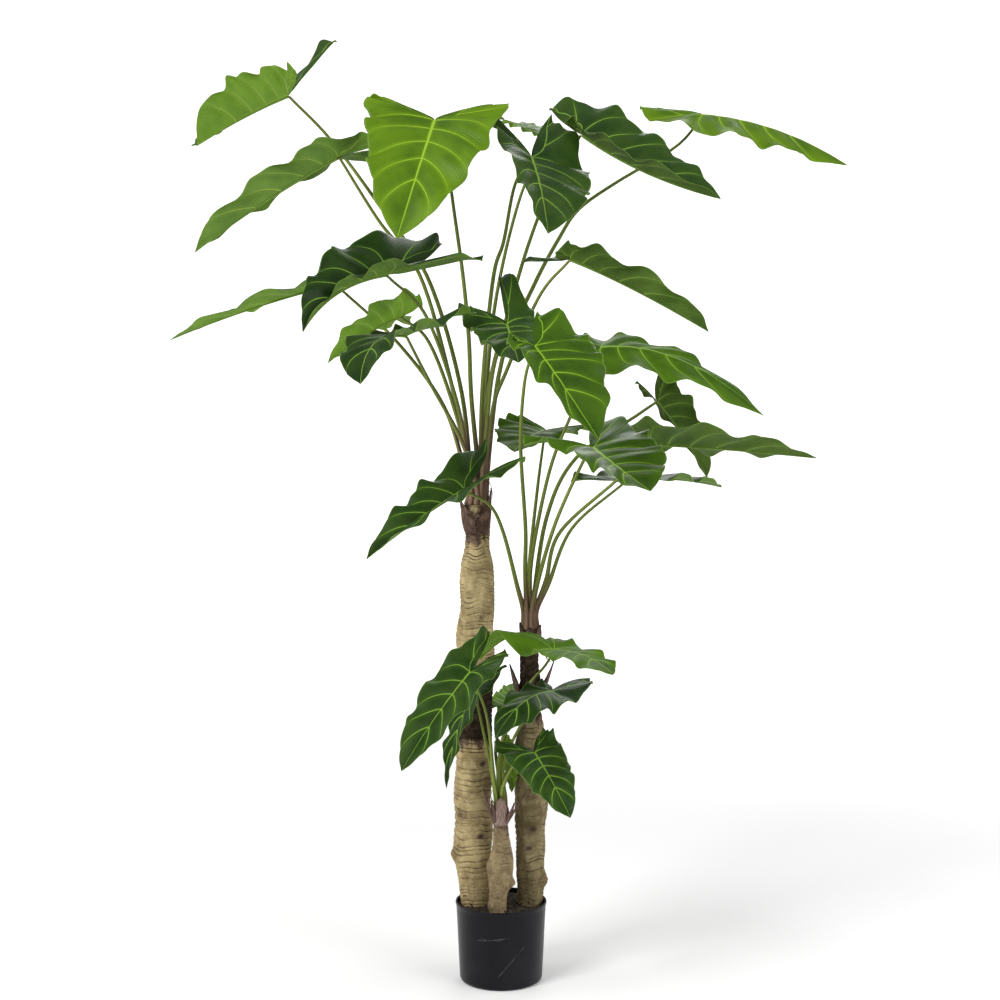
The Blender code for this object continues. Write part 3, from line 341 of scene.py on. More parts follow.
def bark_skin(name, light, dark, lump_highlight, ring_share):
    """Bark: rings at whole numbers of the first map; the second holds knots and the brown share, whose values
    above 0.66 turn the fibre near black as dark fibre with painted shadow.
    """
    net = Net(name)
    order, pitch = net.uv("veins")
    knot, share = net.uv("ribs")
    spot = net.place()
    cloud = net.noise(spot, 24.0, 5.0, 0.62)
    grain = net.noise(spot, 460.0, 4.0, 0.65)
    lump = net.noise(spot, 95.0, 4.0, 0.6)
    x, y, height = net.split(spot)[:3]
    low = net.ramp(height, 0.15, 0.235, 1.0, 0.0)
    gap = net.mul(net.off_whole(order), pitch)
    broken = net.ramp(net.noise(spot, 30.0, 3.0, 0.6), 0.38, 0.56)
    broken = net.mul(broken, net.ramp(net.noise(spot, 13.0, 2.0), 0.4, 0.56, 0.18, 1.0))
    line = net.mul(net.ramp(gap, 0.0002, 0.0012, 1.0, 0.0), broken)
    fine = net.off_whole(net.mul(order, 3.0))
    fine = net.mul(net.ramp(fine, 0.02, 0.14, 1.0, 0.0), net.ramp(net.noise(spot, 42.0, 3.0), 0.5, 0.64))
    rings = net.math("MAXIMUM", line, net.mul(fine, 0.55))
    rings = net.mul(rings, net.sub(1.0, net.mul(low, 0.85)))
    colour = net.mix(net.ramp(cloud, 0.34, 0.66), dark, light)
    # painted highlight: raised lumps lightened as if lit from above
    colour = net.mix(net.mul(net.ramp(lump, 0.5, 0.7), 0.5), colour, lump_highlight)
    colour = net.mix(net.ramp(height, 0.15, 0.42, 0.45, 0.0), colour, dark)
    fibre = net.noise(net.join(x, y, net.mul(height, 0.22)), 75.0, 4.0, 0.6)
    torn = net.add(net.mul(cloud, 0.5), fibre)
    ragged = net.ramp(net.add(share, net.mul(net.sub(torn, 0.75), 1.9)), 0.3, 0.66)
    woody = net.mix(net.ramp(lump, 0.38, 0.64), BARK_FIBRE, (0.17, 0.12, 0.085))
    # near-black fibre where the brown share passes 0.66: dark-brown fibre plus painted leaf shadow
    dark_fibre_and_shadow = net.mix(net.ramp(lump, 0.4, 0.66), (0.01, 0.006, 0.004), (0.048, 0.032, 0.021))
    woody = net.mix(net.ramp(share, 0.66, 0.86), woody, dark_fibre_and_shadow)
    colour = net.mix(ragged, colour, woody)
    colour = net.mix(net.mul(rings, ring_share), colour, (0.055, 0.032, 0.014))
    specks = net.mul(net.ramp(grain, 0.46, 0.7), net.add(0.28, net.mul(low, 0.5)))
    colour = net.mix(specks, colour, (0.11, 0.072, 0.035))
    pits = net.mul(net.ramp(net.noise(spot, 170.0, 3.0, 0.6), 0.6, 0.68), low)
    colour = net.mix(pits, colour, (0.03, 0.018, 0.009))
    knot = net.mul(knot, net.ramp(lump, 0.36, 0.52, 0.7, 1.0))
    colour = net.mix(knot, colour, (0.036, 0.02, 0.018))
    relief = net.sub(net.mul(grain, 0.5), rings)
    relief = net.add(relief, net.mul(lump, 0.8))
    relief = net.sub(relief, net.mul(pits, 0.8))
    return net.finish(colour, net.ramp(grain, 0.3, 0.7, 0.78, 0.95), net.bump(relief, 0.002), 0.1)


def husk_skin():
    """Dry sheath: long fibres, purple-brown with paler and reddish streaks."""
    net = Net("husk_fibre")
    across, up = net.uv("veins")
    pale, tip = net.uv("ribs")
    spot = net.place()
    fibre = net.noise(net.join(net.mul(across, 9.0), up), 70.0, 5.0, 0.65)
    cloud = net.noise(spot, 50.0, 3.0)
    colour = net.mix(net.ramp(fibre, 0.38, 0.64), (0.02, 0.01, 0.008), (0.12, 0.068, 0.046))
    colour = net.mix(net.mul(net.ramp(cloud, 0.5, 0.7), 0.4), colour, (0.24, 0.15, 0.105))
    colour = net.mix(net.ramp(fibre, 0.6, 0.7, 0.0, 0.45), colour, (0.34, 0.24, 0.17))
    bleached = net.mix(net.ramp(fibre, 0.35, 0.65), (0.17, 0.105, 0.085), (0.46, 0.34, 0.29))
    colour = net.mix(pale, colour, bleached)
    colour = net.mix(net.ramp(tip, 0.8, 1.0, 0.0, 0.6), colour, (0.035, 0.018, 0.014))
    return net.finish(colour, net.ramp(fibre, 0.3, 0.7, 0.6, 0.85), net.bump(fibre, 0.0014), 0.12)


def pot_skin():
    """Dark moulded plastic with long scuffs and a few pale scratches."""
    net = Net("pot_plastic")
    around, up = net.uv("veins")
    spot = net.place()
    cloud = net.noise(spot, 9.0, 4.0, 0.6)
    grain = net.noise(spot, 700.0, 2.0)
    scuff = net.noise(net.join(net.mul(around, 5.0), net.mul(up, 90.0)), 9.0, 4.0, 0.6)
    scuff = net.ramp(scuff, 0.6, 0.78)
    colour = net.mix(net.ramp(cloud, 0.35, 0.7), (0.0042, 0.004, 0.0056), (0.0085, 0.0082, 0.0108))
    colour = net.mix(net.mul(scuff, 0.2), colour, (0.04, 0.041, 0.047))
    marks = None
    for x0, z0, x1, z1, wide in SCRATCHES:
        dx = x1 - x0
        dz = z1 - z0
        length = math.hypot(dx, dz)
        px = net.sub(around, x0)
        pz = net.sub(up, z0)
        along = net.add(net.mul(px, dx / length), net.mul(pz, dz / length))
        off = net.sub(net.mul(px, dz / length), net.mul(pz, dx / length))
        line = net.ramp(net.math("ABSOLUTE", off), wide * 0.3, wide, 1.0, 0.0)
        line = net.mul(line, net.ramp(along, 0.0, length * 0.15))
        line = net.mul(line, net.ramp(along, length * 0.8, length, 1.0, 0.0))
        marks = line if marks is None else net.math("MAXIMUM", marks, line)
    broken = net.ramp(net.noise(spot, 160.0, 3.0), 0.35, 0.6, 0.25, 1.0)
    marks = net.mul(marks, broken)
    colour = net.mix(net.mul(marks, 0.6), colour, (0.13, 0.13, 0.14))
    rough = net.ramp(scuff, 0.0, 1.0, 0.32, 0.5)
    return net.finish(colour, rough, net.bump(grain, 0.0002), 0.16)


def soil_skin():
    net = Net("fill_grains")
    spot = net.place()
    grain = net.noise(spot, 260.0, 4.0, 0.65)
    cloud = net.noise(spot, 60.0, 3.0)
    colour = net.mix(net.ramp(grain, 0.4, 0.68), (0.01, 0.0075, 0.0055), (0.075, 0.055, 0.038))
    colour = net.mix(net.mul(net.ramp(cloud, 0.55, 0.7), 0.4), colour, (0.13, 0.1, 0.07))
    return net.finish(colour, net.ramp(grain, 0.3, 0.7, 0.85, 1.0), net.bump(grain, 0.0022), 0.2)


# ---- Meshes ----


def make_piece(node, points, faces, maps, materials, which=None):
    """The fine piece of a node: maps is {layer: (n, 2) values per point}, which each face's material."""
    mesh = bpy.data.meshes.new(node + "_fine")
    mesh.from_pydata(points.tolist(), [], faces)
    for material in materials:
        mesh.materials.append(material)
    corners = np.empty(len(mesh.loops), dtype=np.int32)
    mesh.loops.foreach_get("vertex_index", corners)
    for layer, values in maps.items():
        made = mesh.uv_layers.new(name=layer)
        made.data.foreach_set("uv", np.asarray(values, dtype=np.float32)[corners].ravel())
    mesh.polygons.foreach_set("use_smooth", [True] * len(mesh.polygons))
    if which is not None:
        mesh.polygons.foreach_set("material_index", which)
    mesh.update()
    piece = bpy.data.objects.new(node + "_fine", mesh)
    bpy.context.scene.collection.objects.link(piece)
    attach(piece, "root")
    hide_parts(node)


def curve(points, t):
    """Points at t on a smooth curve through the given points, t counting whole points."""
    p = np.asarray(points, dtype=float)
    last = len(p) - 1
    t = np.asarray(t, dtype=float)
    i = np.minimum(t.astype(int), last - 1)
    f = (t - i)[..., None]
    p1 = p[i]
    p2 = p[i + 1]
    p0 = np.where((i > 0)[..., None], p[np.maximum(i - 1, 0)], 2 * p1 - p2)
    p3 = np.where((i + 2 <= last)[..., None], p[np.minimum(i + 2, last)], 2 * p2 - p1)
    return 0.5 * (2 * p1 + (p2 - p0) * f + (2 * p0 - 5 * p1 + 4 * p2 - p3) * f * f
                  + (3 * p1 - p0 - 3 * p2 + p3) * f ** 3)


def unit(v):
    return v / np.maximum(np.linalg.norm(v, axis=-1, keepdims=True), 1e-12)


def ease(x, low, high):
    x = np.clip((x - low) / (high - low), 0, 1)
    return x * x * (3 - 2 * x)


def travel(path):
    """Length along a path at each of its points."""
    return np.concatenate([[0], np.cumsum(np.linalg.norm(np.diff(path, axis=0), axis=1))])


def around(sides):
    """Angles spread evenly round a circle."""
    return np.linspace(0, 2 * np.pi, sides, endpoint=False)


def polar(x, y, r, angle, z):
    """Points at radius r and the given angle round an upright axis."""
    return np.stack([x + r * np.cos(angle), y + r * np.sin(angle), z + 0 * angle], -1)


def midrib(leaf, share):
    """Points, directions, side ways and upper ways of the midrib's line, as part of the blade's form."""
    j, m, t = (np.array(p, dtype=float) for p in (leaf.junction, leaf.middle, leaf.tip))
    pull = 2 * m - (j + t) / 2
    s = np.maximum(share, 0)[..., None]
    here = j * (1 - s) ** 2 + pull * 2 * s * (1 - s) + t * s ** 2
    here = here + (pull - j) * 2 * np.minimum(share, 0)[..., None]
    along = unit((pull - j) * (1 - s) + (t - pull) * s)
    face = np.array(leaf.face, dtype=float)
    up = unit(face - along * (along @ face)[..., None])
    return here, along, np.cross(up, along), up


def blade_length(leaf):
    j, m, t = (np.array(p, dtype=float) for p in (leaf.junction, leaf.middle, leaf.tip))
    return float(np.linalg.norm(m - j) + np.linalg.norm(t - m))


def half_blade(leaf, sign, t, c):
    """Points and maps of one half of a blade on a grid of lines t and columns c."""
    half_one, half_two, lobe_one, spread_one, lobe_two, spread_two, belly = leaf.plan
    fold_one, fold_two, droop, hang, twist = leaf.bend
    wave, phase = leaf.wave
    lobe = lobe_one if sign > 0 else lobe_two
    spread = math.radians(spread_one if sign > 0 else spread_two)
    length = blade_length(leaf)
    width = half_one + half_two
    half = half_one if sign > 0 else half_two
    tilt = math.radians(fold_one if sign > 0 else fold_two)
    back = lobe * math.cos(spread)
    out = lobe * math.sin(spread)
    margin = [
        (-back, out), (-0.93 * back, 0.95 * out + 0.32 * half),
        (-0.42 * back, 0.5 * out + (0.74 - 0.15 * belly) * half),
        (0.1 * length, 0.12 * out + (1.0 - 0.15 * belly) * half), (0.36 * length, 0.98 * half),
        (0.58 * length, (0.8 + 0.15 * belly) * half), (0.78 * length, (0.55 + 0.22 * belly) * half),
        (0.92 * length, (0.25 + 0.18 * belly) * half), (length, 0.0),
    ]
    sinus = [(-back, out), (-0.66 * back, 0.46 * out), (-0.22 * back, 0.06 * out), (0.0, 0.0)]
    outer = curve(margin, np.interp(t, np.arange(13), LINE_MARGIN))
    inner = curve(sinus, np.interp(t, np.arange(5), LINE_STEPS) * 3)
    body = np.stack([np.interp(t, np.arange(4, 13), LINE_MIDRIB) * length, np.zeros_like(t)], axis=-1)
    inner = np.where((t < 4)[:, None], inner, body)
    reach = np.linalg.norm(outer - inner, axis=-1)
    tt = t[:, None] + 0 * c[None, :]
    cc = c[None, :] + 0 * t[:, None]
    lobed = 1 - ease(tt, 2.4, 4.8)
    shift = 0.95 * cc ** 1.6 * (1 - lobed) - 0.8 * cc * lobed
    order = (tt - 4 - shift) / 1.35
    between = np.sin(np.pi * order) ** 2
    swing = np.sin(0.9 * tt + 3 * phase + sign)
    scallop = 1 + (0.05 + 0.018 * swing) * (np.sqrt(np.abs(np.sin(np.pi * order))) - 0.75) * cc ** 4
    scallop = scallop + 0.01 * np.sin(6.1 * tt + 5 * phase) * cc ** 5
    plan = inner[:, None, :] + (outer - inner)[:, None, :] * (cc * scallop)[..., None]
    u = plan[..., 0]
    v = plan[..., 1]
    share = u / length
    here, _, side, up = midrib(leaf, share)
    fade = np.minimum(1.0, 2.5 * (1 - share))
    rise = v * math.sin(tilt) * (1 - 0.3 * v / half)
    rise = rise + wave * np.sin(2.35 * tt + phase + 1.7 * sign) * cc ** 2 * fade
    rise = rise + np.where(u < 0, math.tan(math.radians(hang)) * u - droop * u * u / lobe, 0.0)
    quilt = min(0.0042, 0.021 * width)
    rise = rise + quilt * (between * np.sin(np.pi * np.clip(cc, 0.02, 1) ** 0.75) * 0.9) * fade
    rise = rise + quilt * 1.1 * (between - 0.5) * cc ** 3 * fade
    rise = rise + 0.0022 * np.sin(5.3 * tt + 2 * phase + sign) * cc ** 4 * fade
    across = sign * v * math.cos(tilt) * (1 + 0.035 * np.sin(3.1 * tt + phase) * cc)
    turn = math.radians(twist) * np.maximum(0.0, share)
    points = here + side * (across * np.cos(turn) - rise * np.sin(turn))[..., None]
    points = points + up * (across * np.sin(turn) + rise * np.cos(turn))[..., None]
    # distance between side veins, and place across the ribs in half-widths of the rib
    pt = np.gradient(points, t, axis=0)
    pc = np.gradient(points, c, axis=1)
    wt = np.gradient(order, t, axis=0)
    wc = np.gradient(order, c, axis=1)
    gtt = (pt * pt).sum(-1)
    gcc = (pc * pc).sum(-1)
    gtc = (pt * pc).sum(-1)
    det = np.maximum(gtt * gcc - gtc * gtc, 1e-14)
    slope = np.sqrt(np.maximum((wt * wt * gcc - 2 * wt * wc * gtc + wc * wc * gtt) / det, 1e-6))
    pitch = np.clip(1 / slope, 0.003, 0.09)
    lead = 0.34 * np.sin(np.pi / 2 * np.clip((4 - tt) / 2.6, 0, 1))
    thick = min(1.0, width / 0.16)
    rib_half = np.where(tt < 4, 0.0021 * thick * (0.3 + 0.7 * np.clip(tt / 4, 0, 1)),
                        thick * (0.0036 - 0.0025 * np.clip(share, 0, 1) ** 0.7))
    rib = (cc - lead) * reach[:, None] / rib_half
    return points, np.stack([order, pitch], -1), np.stack([rib, cc], -1)


def blade_arrays(leaf, rows_lobe, rows_body, columns):
    """Vertices, quads and maps of a thin closed blade; the last quads are its underside and rim."""
    t = np.concatenate([np.linspace(0.04, 4.0, rows_lobe), np.linspace(4.0, 11.97, rows_body)[1:]])
    c = np.linspace(0.0, 1.0, columns) ** 1.12
    n = len(t)
    rows = []
    quads = []
    first = np.arange(n * columns).reshape(n, columns)
    second = first + n * columns
    second[rows_lobe - 1:, 0] = first[rows_lobe - 1:, 0]
    for sign, grid in ((1, first), (-1, second)):
        rows.append(np.concatenate(half_blade(leaf, sign, t, c), axis=-1).reshape(-1, 7))
        quads.append(sheet_quads(grid)[:, ::sign])
    used, quads = np.unique(np.concatenate(quads), return_inverse=True)
    quads = quads.reshape(-1, 4)
    points, veins, ribs = np.split(np.concatenate(rows)[used], (3, 5), axis=1)
    normal = np.zeros_like(points)
    p = points[quads]
    facing = np.cross(p[:, 2] - p[:, 0], p[:, 3] - p[:, 1])
    if (facing.sum(0) @ np.array(leaf.face, dtype=float)) < 0:
        quads = quads[:, ::-1]
        facing = -facing
    for k in range(4):
        np.add.at(normal, quads[:, k], facing)
    thick = 0.0009 - 0.0004 * ribs[:, 1]
    under = points - unit(normal) * thick[:, None]
    count = len(points)
    edges = np.concatenate([quads[:, [k, (k + 1) % 4]] for k in range(4)])
    keys = edges[:, 0].astype(np.int64) * count + edges[:, 1]
    mirror = edges[:, 1].astype(np.int64) * count + edges[:, 0]
    rim = edges[~np.isin(keys, mirror)]
    walls = np.stack([rim[:, 1], rim[:, 0], rim[:, 0] + count, rim[:, 1] + count], -1)
    faces = np.concatenate([quads, quads[:, ::-1] + count, walls])
    which = np.concatenate([np.zeros(len(quads), int), np.ones(len(quads), int), np.ones(len(walls), int)])
    return (np.concatenate([points, under]), faces, np.concatenate([veins, veins]),
            np.concatenate([ribs, ribs]), which)


def sheet_quads(grid):
    """Quads of a grid of vertex numbers."""
    return np.stack([grid[:-1, :-1], grid[:-1, 1:], grid[1:, 1:], grid[1:, :-1]], -1).reshape(-1, 4)


def ring_quads(grid):
    """Quads of a grid of vertex numbers whose rows close on themselves."""
    nxt = np.roll(grid, -1, axis=1)
    return np.stack([grid[:-1], nxt[:-1], nxt[1:], grid[1:]], -1).reshape(-1, 4)


def tube_faces(grid):
    """Ring quads with both ends closed."""
    return ring_quads(grid).tolist() + [grid[0, ::-1].tolist(), grid[-1].tolist()]


def tube_arrays(path, radii, sides, squash=1.0):
    """Closed tube along a path, with (length along, share round) maps."""
    path = np.asarray(path, dtype=float)
    ahead = unit(np.gradient(path, axis=0))
    frame_x = np.zeros_like(path)
    x = np.array([1.0, 0.0, 0.0])
    for i, a in enumerate(ahead):
        x = unit(x - a * (x @ a))
        frame_x[i] = x
    frame_y = np.cross(ahead, frame_x)
    angle = around(sides)
    r = np.asarray(radii, dtype=float)[:, None, None]
    ring = (frame_x[:, None, :] * np.cos(angle)[None, :, None]
            + frame_y[:, None, :] * np.sin(angle)[None, :, None] * squash) * r + path[:, None, :]
    n = len(path)
    grid = np.arange(n * sides).reshape(n, sides)
    far = travel(path)
    maps = np.stack([np.repeat(far, sides), np.tile(angle / (2 * np.pi), n)], -1)
    faces = tube_faces(grid)
    return ring.reshape(-1, 3), faces, maps


def leaf_piece(leaf, crown, radii, brown_reach, skins):
    big = leaf.plan[0] + leaf.plan[1] > 0.11
    points, faces, veins, ribs, which = blade_arrays(
        leaf, 34 if big else 24, 74 if big else 50, 22 if big else 15)
    x, y, z, _ = crown
    angle = math.radians(leaf.turn)
    foot = np.array([x + leaf.ring * math.cos(angle), y + leaf.ring * math.sin(angle), z + FOOT_GAP])
    j, _, _, up = (a[0] for a in midrib(leaf, np.array([0.0])))
    below = j - up * (radii[1] * 0.9 + 0.0011)
    guide = [foot, foot + (0, 0, PETIOLE_UPRIGHT)] + [np.array(p) for p in leaf.route] + [below]
    path = curve(guide, np.linspace(0, len(guide) - 1, PETIOLE_RINGS))
    size = radii[0] + (radii[1] - radii[0]) * np.linspace(0, 1, PETIOLE_RINGS) ** 1.5
    far = travel(path)
    size = size * (1 + 0.45 * np.exp(-(far / 0.075) ** 1.5))
    shares = np.linspace(0.02, 0.97, 26)
    here, _, _, ups = midrib(leaf, shares)
    keel = radii[1] * (0.8 - 0.62 * shares)
    path = np.concatenate([path, here - ups * (keel + 0.0002)[:, None]])
    size = np.concatenate([size, keel])
    tube, more_faces, tube_maps = tube_arrays(path, size, PETIOLE_SIDES)
    start = len(points)
    faces = faces.tolist() + [[k + start for k in f] for f in more_faces]
    stalk_faces = PETIOLE_SIDES * PETIOLE_RINGS
    which = np.concatenate([which, np.where(np.arange(len(more_faces)) < stalk_faces, 2, 1)])
    maps = {"veins": np.concatenate([veins, tube_maps]),
            "ribs": np.concatenate([ribs, tube_maps / brown_reach])}
    make_piece(leaf.name, np.concatenate([points, tube]), faces, maps, skins, which)


def trunk_piece(node, spine, seed, spacing, groove, knots, skins, sides, rows, brown):
    """Bark: irregular wavy rings, knots, and a brown fibrous zone where brown(z) says; its highest shares add
    painted leaf shadow.
    """
    rng = np.random.default_rng(seed)
    spine = np.array(spine)
    low = SOIL_TOP - 0.012
    high = spine[-1, 2]
    z = np.linspace(low, high, rows)
    steps = np.interp(z, spine[:, 2], np.arange(len(spine)))
    line = curve(spine, steps)
    radius = line[:, 3]
    angle = around(sides)
    zz = z[:, None] + 0 * angle[None, :]
    aa = angle[None, :] + 0 * z[:, None]
    heights = [low - 0.02]
    while heights[-1] < high + 0.02:
        heights.append(heights[-1] + spacing * rng.uniform(0.45, 1.7))
    sway = 0.0
    for k in range(1, 7):
        a, b, size = rng.uniform(0, 6.28), rng.uniform(-45, 45), 0.17 * spacing / k ** 0.5
        sway = sway + size * np.sin(k * aa + a + b * zz)
    order = np.interp(zz + sway, heights, np.arange(len(heights)))
    pitch = np.interp(zz + sway, (np.array(heights[1:]) + heights[:-1]) / 2, np.diff(heights))
    part = order - np.floor(order)
    band = 0.62 + 0.38 * np.sin(2 * aa + 31 * zz + seed) * np.sin(17 * zz - aa)
    bulge = groove * band * ((1 - np.abs(2 * part - 1) ** 3) - 0.6)
    lump = 0.0
    for k in range(8):
        a, n, b = rng.uniform(0, 6.28), rng.integers(1, 6), rng.uniform(-90, 90)
        lump = lump + 0.00062 * np.sin(n * aa + a + b * zz)
    relief = bulge + lump
    dark = np.zeros_like(zz)
    for height, turn, wide, size, pit in knots:
        off = np.remainder(aa - math.radians(turn) + np.pi, 2 * np.pi) - np.pi
        far = np.sqrt(((zz - height) / wide) ** 2 + (off * radius[:, None] / (wide * 1.15)) ** 2)
        relief = relief + size * np.exp(-far ** 2) - pit * np.exp(-(far / 0.42) ** 2)
        dark = np.maximum(dark, np.exp(-(far / 0.58) ** 2) * min(1.0, 0.25 + pit / 0.003))
        dark = np.maximum(dark, 0.35 * np.exp(-((far - 1.0) / 0.16) ** 2))
    relief = relief * ease(zz, low, low + 0.02)
    r = radius[:, None] + relief
    points = polar(line[:, 0:1], line[:, 1:2], r, aa, zz).reshape(-1, 3)
    grid = np.arange(rows * sides).reshape(rows, sides)
    faces = tube_faces(grid)
    maps = {"veins": np.stack([order, pitch], -1).reshape(-1, 2),
            "ribs": np.stack([dark, brown(zz)], -1).reshape(-1, 2)}
    make_piece(node, points, faces, maps, [skins[node]])


def flap_arrays(centre, radius, turn, half_turn, height, flare, bow, lean, pale):
    """One dry sheath flap round a trunk: pointed, thin, opening outwards towards its tip."""
    rows = 26
    columns = 13
    b = np.linspace(0, 1, rows)[:, None]
    a = np.linspace(-1, 1, columns)[None, :]
    taper = (1 - b ** 2.0) ** 0.8 + 0.03
    ragged = 1 + 0.06 * np.sin(9 * b + 4 * turn) * np.sign(a) + 0.03 * np.sin(31 * b + turn)
    angle = math.radians(turn) + a * math.radians(half_turn) * taper * ragged + lean * b ** 1.4
    r = radius + flare * b ** bow + 0.001 * np.sin(5 * a + 7 * b + turn) * b
    r = r + 0.0016 * (1 - a ** 2) * np.sin(np.pi * b)
    z = height * b + 0 * a
    x, y, base = centre
    outer = polar(x, y, r, angle, base + z)
    inner = polar(x, y, r - FLAP_THICK, angle, base + z)
    n = rows * columns
    grid = np.arange(n).reshape(rows, columns)
    quads = sheet_quads(grid)
    loop = np.concatenate([grid[0, :], grid[1:, -1], grid[-1, -2::-1], grid[-2:0:-1, 0]])
    nxt = np.roll(loop, -1)
    walls = np.stack([nxt, loop, loop + n, nxt + n], -1)
    faces = np.concatenate([quads, quads[:, ::-1] + n, walls]).tolist()
    maps = np.stack([a * radius * math.radians(half_turn) + 0 * b, height * b + 0 * a,
                     pale + 0 * a + 0 * b, b + 0 * a], -1).reshape(-1, 4)
    return np.concatenate([outer.reshape(-1, 3), inner.reshape(-1, 3)]), faces, np.concatenate([maps, maps])


def husk_piece(node, flaps, strands, skin):
    points = []
    faces = []
    maps = []
    start = 0
    for made in [flap_arrays(*f) for f in flaps] + [strand_arrays(*s) for s in strands]:
        points.append(made[0])
        faces += [[k + start for k in f] for f in made[1]]
        maps.append(made[2])
        start += len(made[0])
    maps = np.concatenate(maps)
    maps = {"veins": maps[:, :2], "ribs": maps[:, 2:]}
    make_piece(node, np.concatenate(points), faces, maps, [skin])


def strand_arrays(points, radius):
    path = curve(np.array(points), np.linspace(0, len(points) - 1, 26))
    size = radius * (1 - 0.8 * np.linspace(0, 1, 26) ** 1.3)
    points, faces, maps = tube_arrays(path, size, 6, 0.6)
    return points, faces, np.concatenate([maps, 0 * maps], axis=-1)


def turned_arrays(profile, sides):
    """Surface of revolution about Z through (radius, height) points; ends on the axis are closed."""
    profile = np.array(profile)
    angle = around(sides)
    r = profile[1:-1, 0:1]
    ring = polar(0, 0, r, angle, profile[1:-1, 1:2])
    n = len(profile) - 2
    grid = np.arange(n * sides).reshape(n, sides)
    nxt = np.roll(grid, -1, axis=1)
    faces = ring_quads(grid).tolist()
    ends = n * sides
    points = np.concatenate([ring.reshape(-1, 3), [[0, 0, profile[0, 1]], [0, 0, profile[-1, 1]]]])
    faces += [[ends, nxt[0, k], grid[0, k]] for k in range(sides)]
    faces += [[ends + 1, grid[-1, k], nxt[-1, k]] for k in range(sides)]
    arc = np.where(angle > np.pi / 2, angle - 2 * np.pi, angle) + np.pi / 2
    maps = np.stack([np.tile(arc * POT_RIM_RADIUS, n), np.repeat(profile[1:-1, 1], sides)], -1)
    return points, faces, np.concatenate([maps, [[0, 0], [0, 0]]])


def pot_piece(skin):
    rim = POT_RIM_RADIUS
    foot = POT_FOOT_RADIUS
    wall = [(foot + (rim - 0.0005 - foot) * s, 0.009 + (POT_HEIGHT - 0.017) * s)
            for s in np.linspace(0, 1, 24)]
    wall = [(r + 0.0002 * math.sin(40 * h), h) for r, h in wall]
    inside = [(foot - POT_WALL + (rim - foot) * s, 0.011 + (POT_HEIGHT - 0.013) * s)
              for s in np.linspace(0.99, 0, 10)]
    profile = [(0, 0.0018), (foot - 0.018, 0.0018), (foot - 0.014, 0.0), (foot - 0.006, 0.0),
               (foot - 0.0018, 0.0022), (foot, 0.006)]
    profile += wall + [(rim - 0.0001, POT_HEIGHT - 0.006), (rim + 0.0006, POT_HEIGHT - 0.0048),
                       (rim + 0.0007, POT_HEIGHT - 0.0015), (rim + 0.0003, POT_HEIGHT - 0.0003),
                       (rim - 0.0006, POT_HEIGHT), (rim - POT_WALL + 0.0002, POT_HEIGHT - 0.0004)]
    profile += inside + [(foot - 0.01, 0.004), (0, 0.004)]
    points, faces, maps = turned_arrays(profile, 128)
    make_piece("pot", points, faces, {"veins": maps}, [skin])


def soil_piece(skin):
    """Grainy top of the fill, with a plain side and underside inside the pot."""
    rng = np.random.default_rng(7)
    rings = 46
    sides = 150
    top_radius = POT_RIM_RADIUS - POT_WALL - 0.0012
    share = np.linspace(0.02, 1, rings)[:, None]
    angle = around(sides)[None, :]
    r = top_radius * share + 0 * angle
    x = r * np.cos(angle)
    y = r * np.sin(angle)
    z = SOIL_TOP + SOIL_MOUND * (1 - share ** 2) + 0 * angle
    for k in range(26):
        a, size = rng.uniform(0, 6.28), rng.uniform(60, 900)
        z = z + 0.00055 * np.sin(size * (x * math.cos(a) + y * math.sin(a)) + rng.uniform(0, 6.28)) * (
            300 / (300 + size))
    z = z + rng.normal(0, 0.0007, z.shape) * (share < 0.995)
    low = []
    for r_low, h in ((0.0805, 0.125), (0.0775, 0.06), (0.0752, 0.012), (0.07, 0.0045)):
        low.append(polar(0, 0, r_low, angle[0], h))
    stack = np.concatenate([np.stack([x, y, z], -1), np.array(low)])
    grid = np.arange(len(stack) * sides).reshape(-1, sides)
    nxt = np.roll(grid, -1, axis=1)
    faces = np.stack([grid[:-1], grid[1:], nxt[1:], nxt[:-1]], -1).reshape(-1, 4).tolist()
    faces += [grid[0].tolist(), grid[-1, ::-1].tolist()]
    points = stack.reshape(-1, 3)
    make_piece("soil", points, faces, {"veins": points[:, :2]}, [skin])


# ---- Looks of single places ----

# Scratches on the pot's front: start and end as (arc from the front, height), and width
SCRATCHES = [
    (-0.008, 0.026, 0.036, 0.072, 0.0008), (0.036, 0.072, 0.049, 0.083, 0.0007),
    (-0.052, 0.093, 0.018, 0.102, 0.0009), (-0.045, 0.098, 0.004, 0.097, 0.0006),
]
# Knots on the trunks: height, angle, width, height of the rim, depth of the pit
TALL_KNOTS = [
    (0.414, 303, 0.0115, 0.0048, 0.0085), (0.384, 319, 0.014, 0.0055, 0.0005),
    (0.319, 231, 0.0105, 0.003, 0.003), (0.278, 293, 0.012, 0.0058, 0.004), (0.235, 182, 0.012, 0.007, 0.0),
    (0.255, 60, 0.01, 0.004, 0.003), (0.38, 120, 0.01, 0.004, 0.003), (0.56, 30, 0.009, 0.003, 0.003),
    (0.61, 160, 0.009, 0.003, 0.003), (0.69, 285, 0.006, 0.0015, 0.002), (0.64, 350, 0.006, 0.002, 0.001),
    (0.455, 205, 0.01, 0.003, 0.001),
]
RIGHT_KNOTS = [
    (0.188, 338, 0.012, 0.007, 0.0), (0.291, 277, 0.012, 0.0036, 0.0034), (0.253, 263, 0.011, 0.0045, 0.003),
    (0.36, 40, 0.01, 0.004, 0.003), (0.23, 130, 0.01, 0.004, 0.003), (0.4, 200, 0.008, 0.003, 0.002),
]
SMALL_KNOTS = [
    (0.195, 355, 0.0095, 0.0085, 0.0), (0.228, 200, 0.009, 0.003, 0.0), (0.157, 220, 0.009, 0.004, 0.0),
    (0.245, 300, 0.008, 0.002, 0.0), (0.178, 262, 0.009, 0.002, 0.0),
]
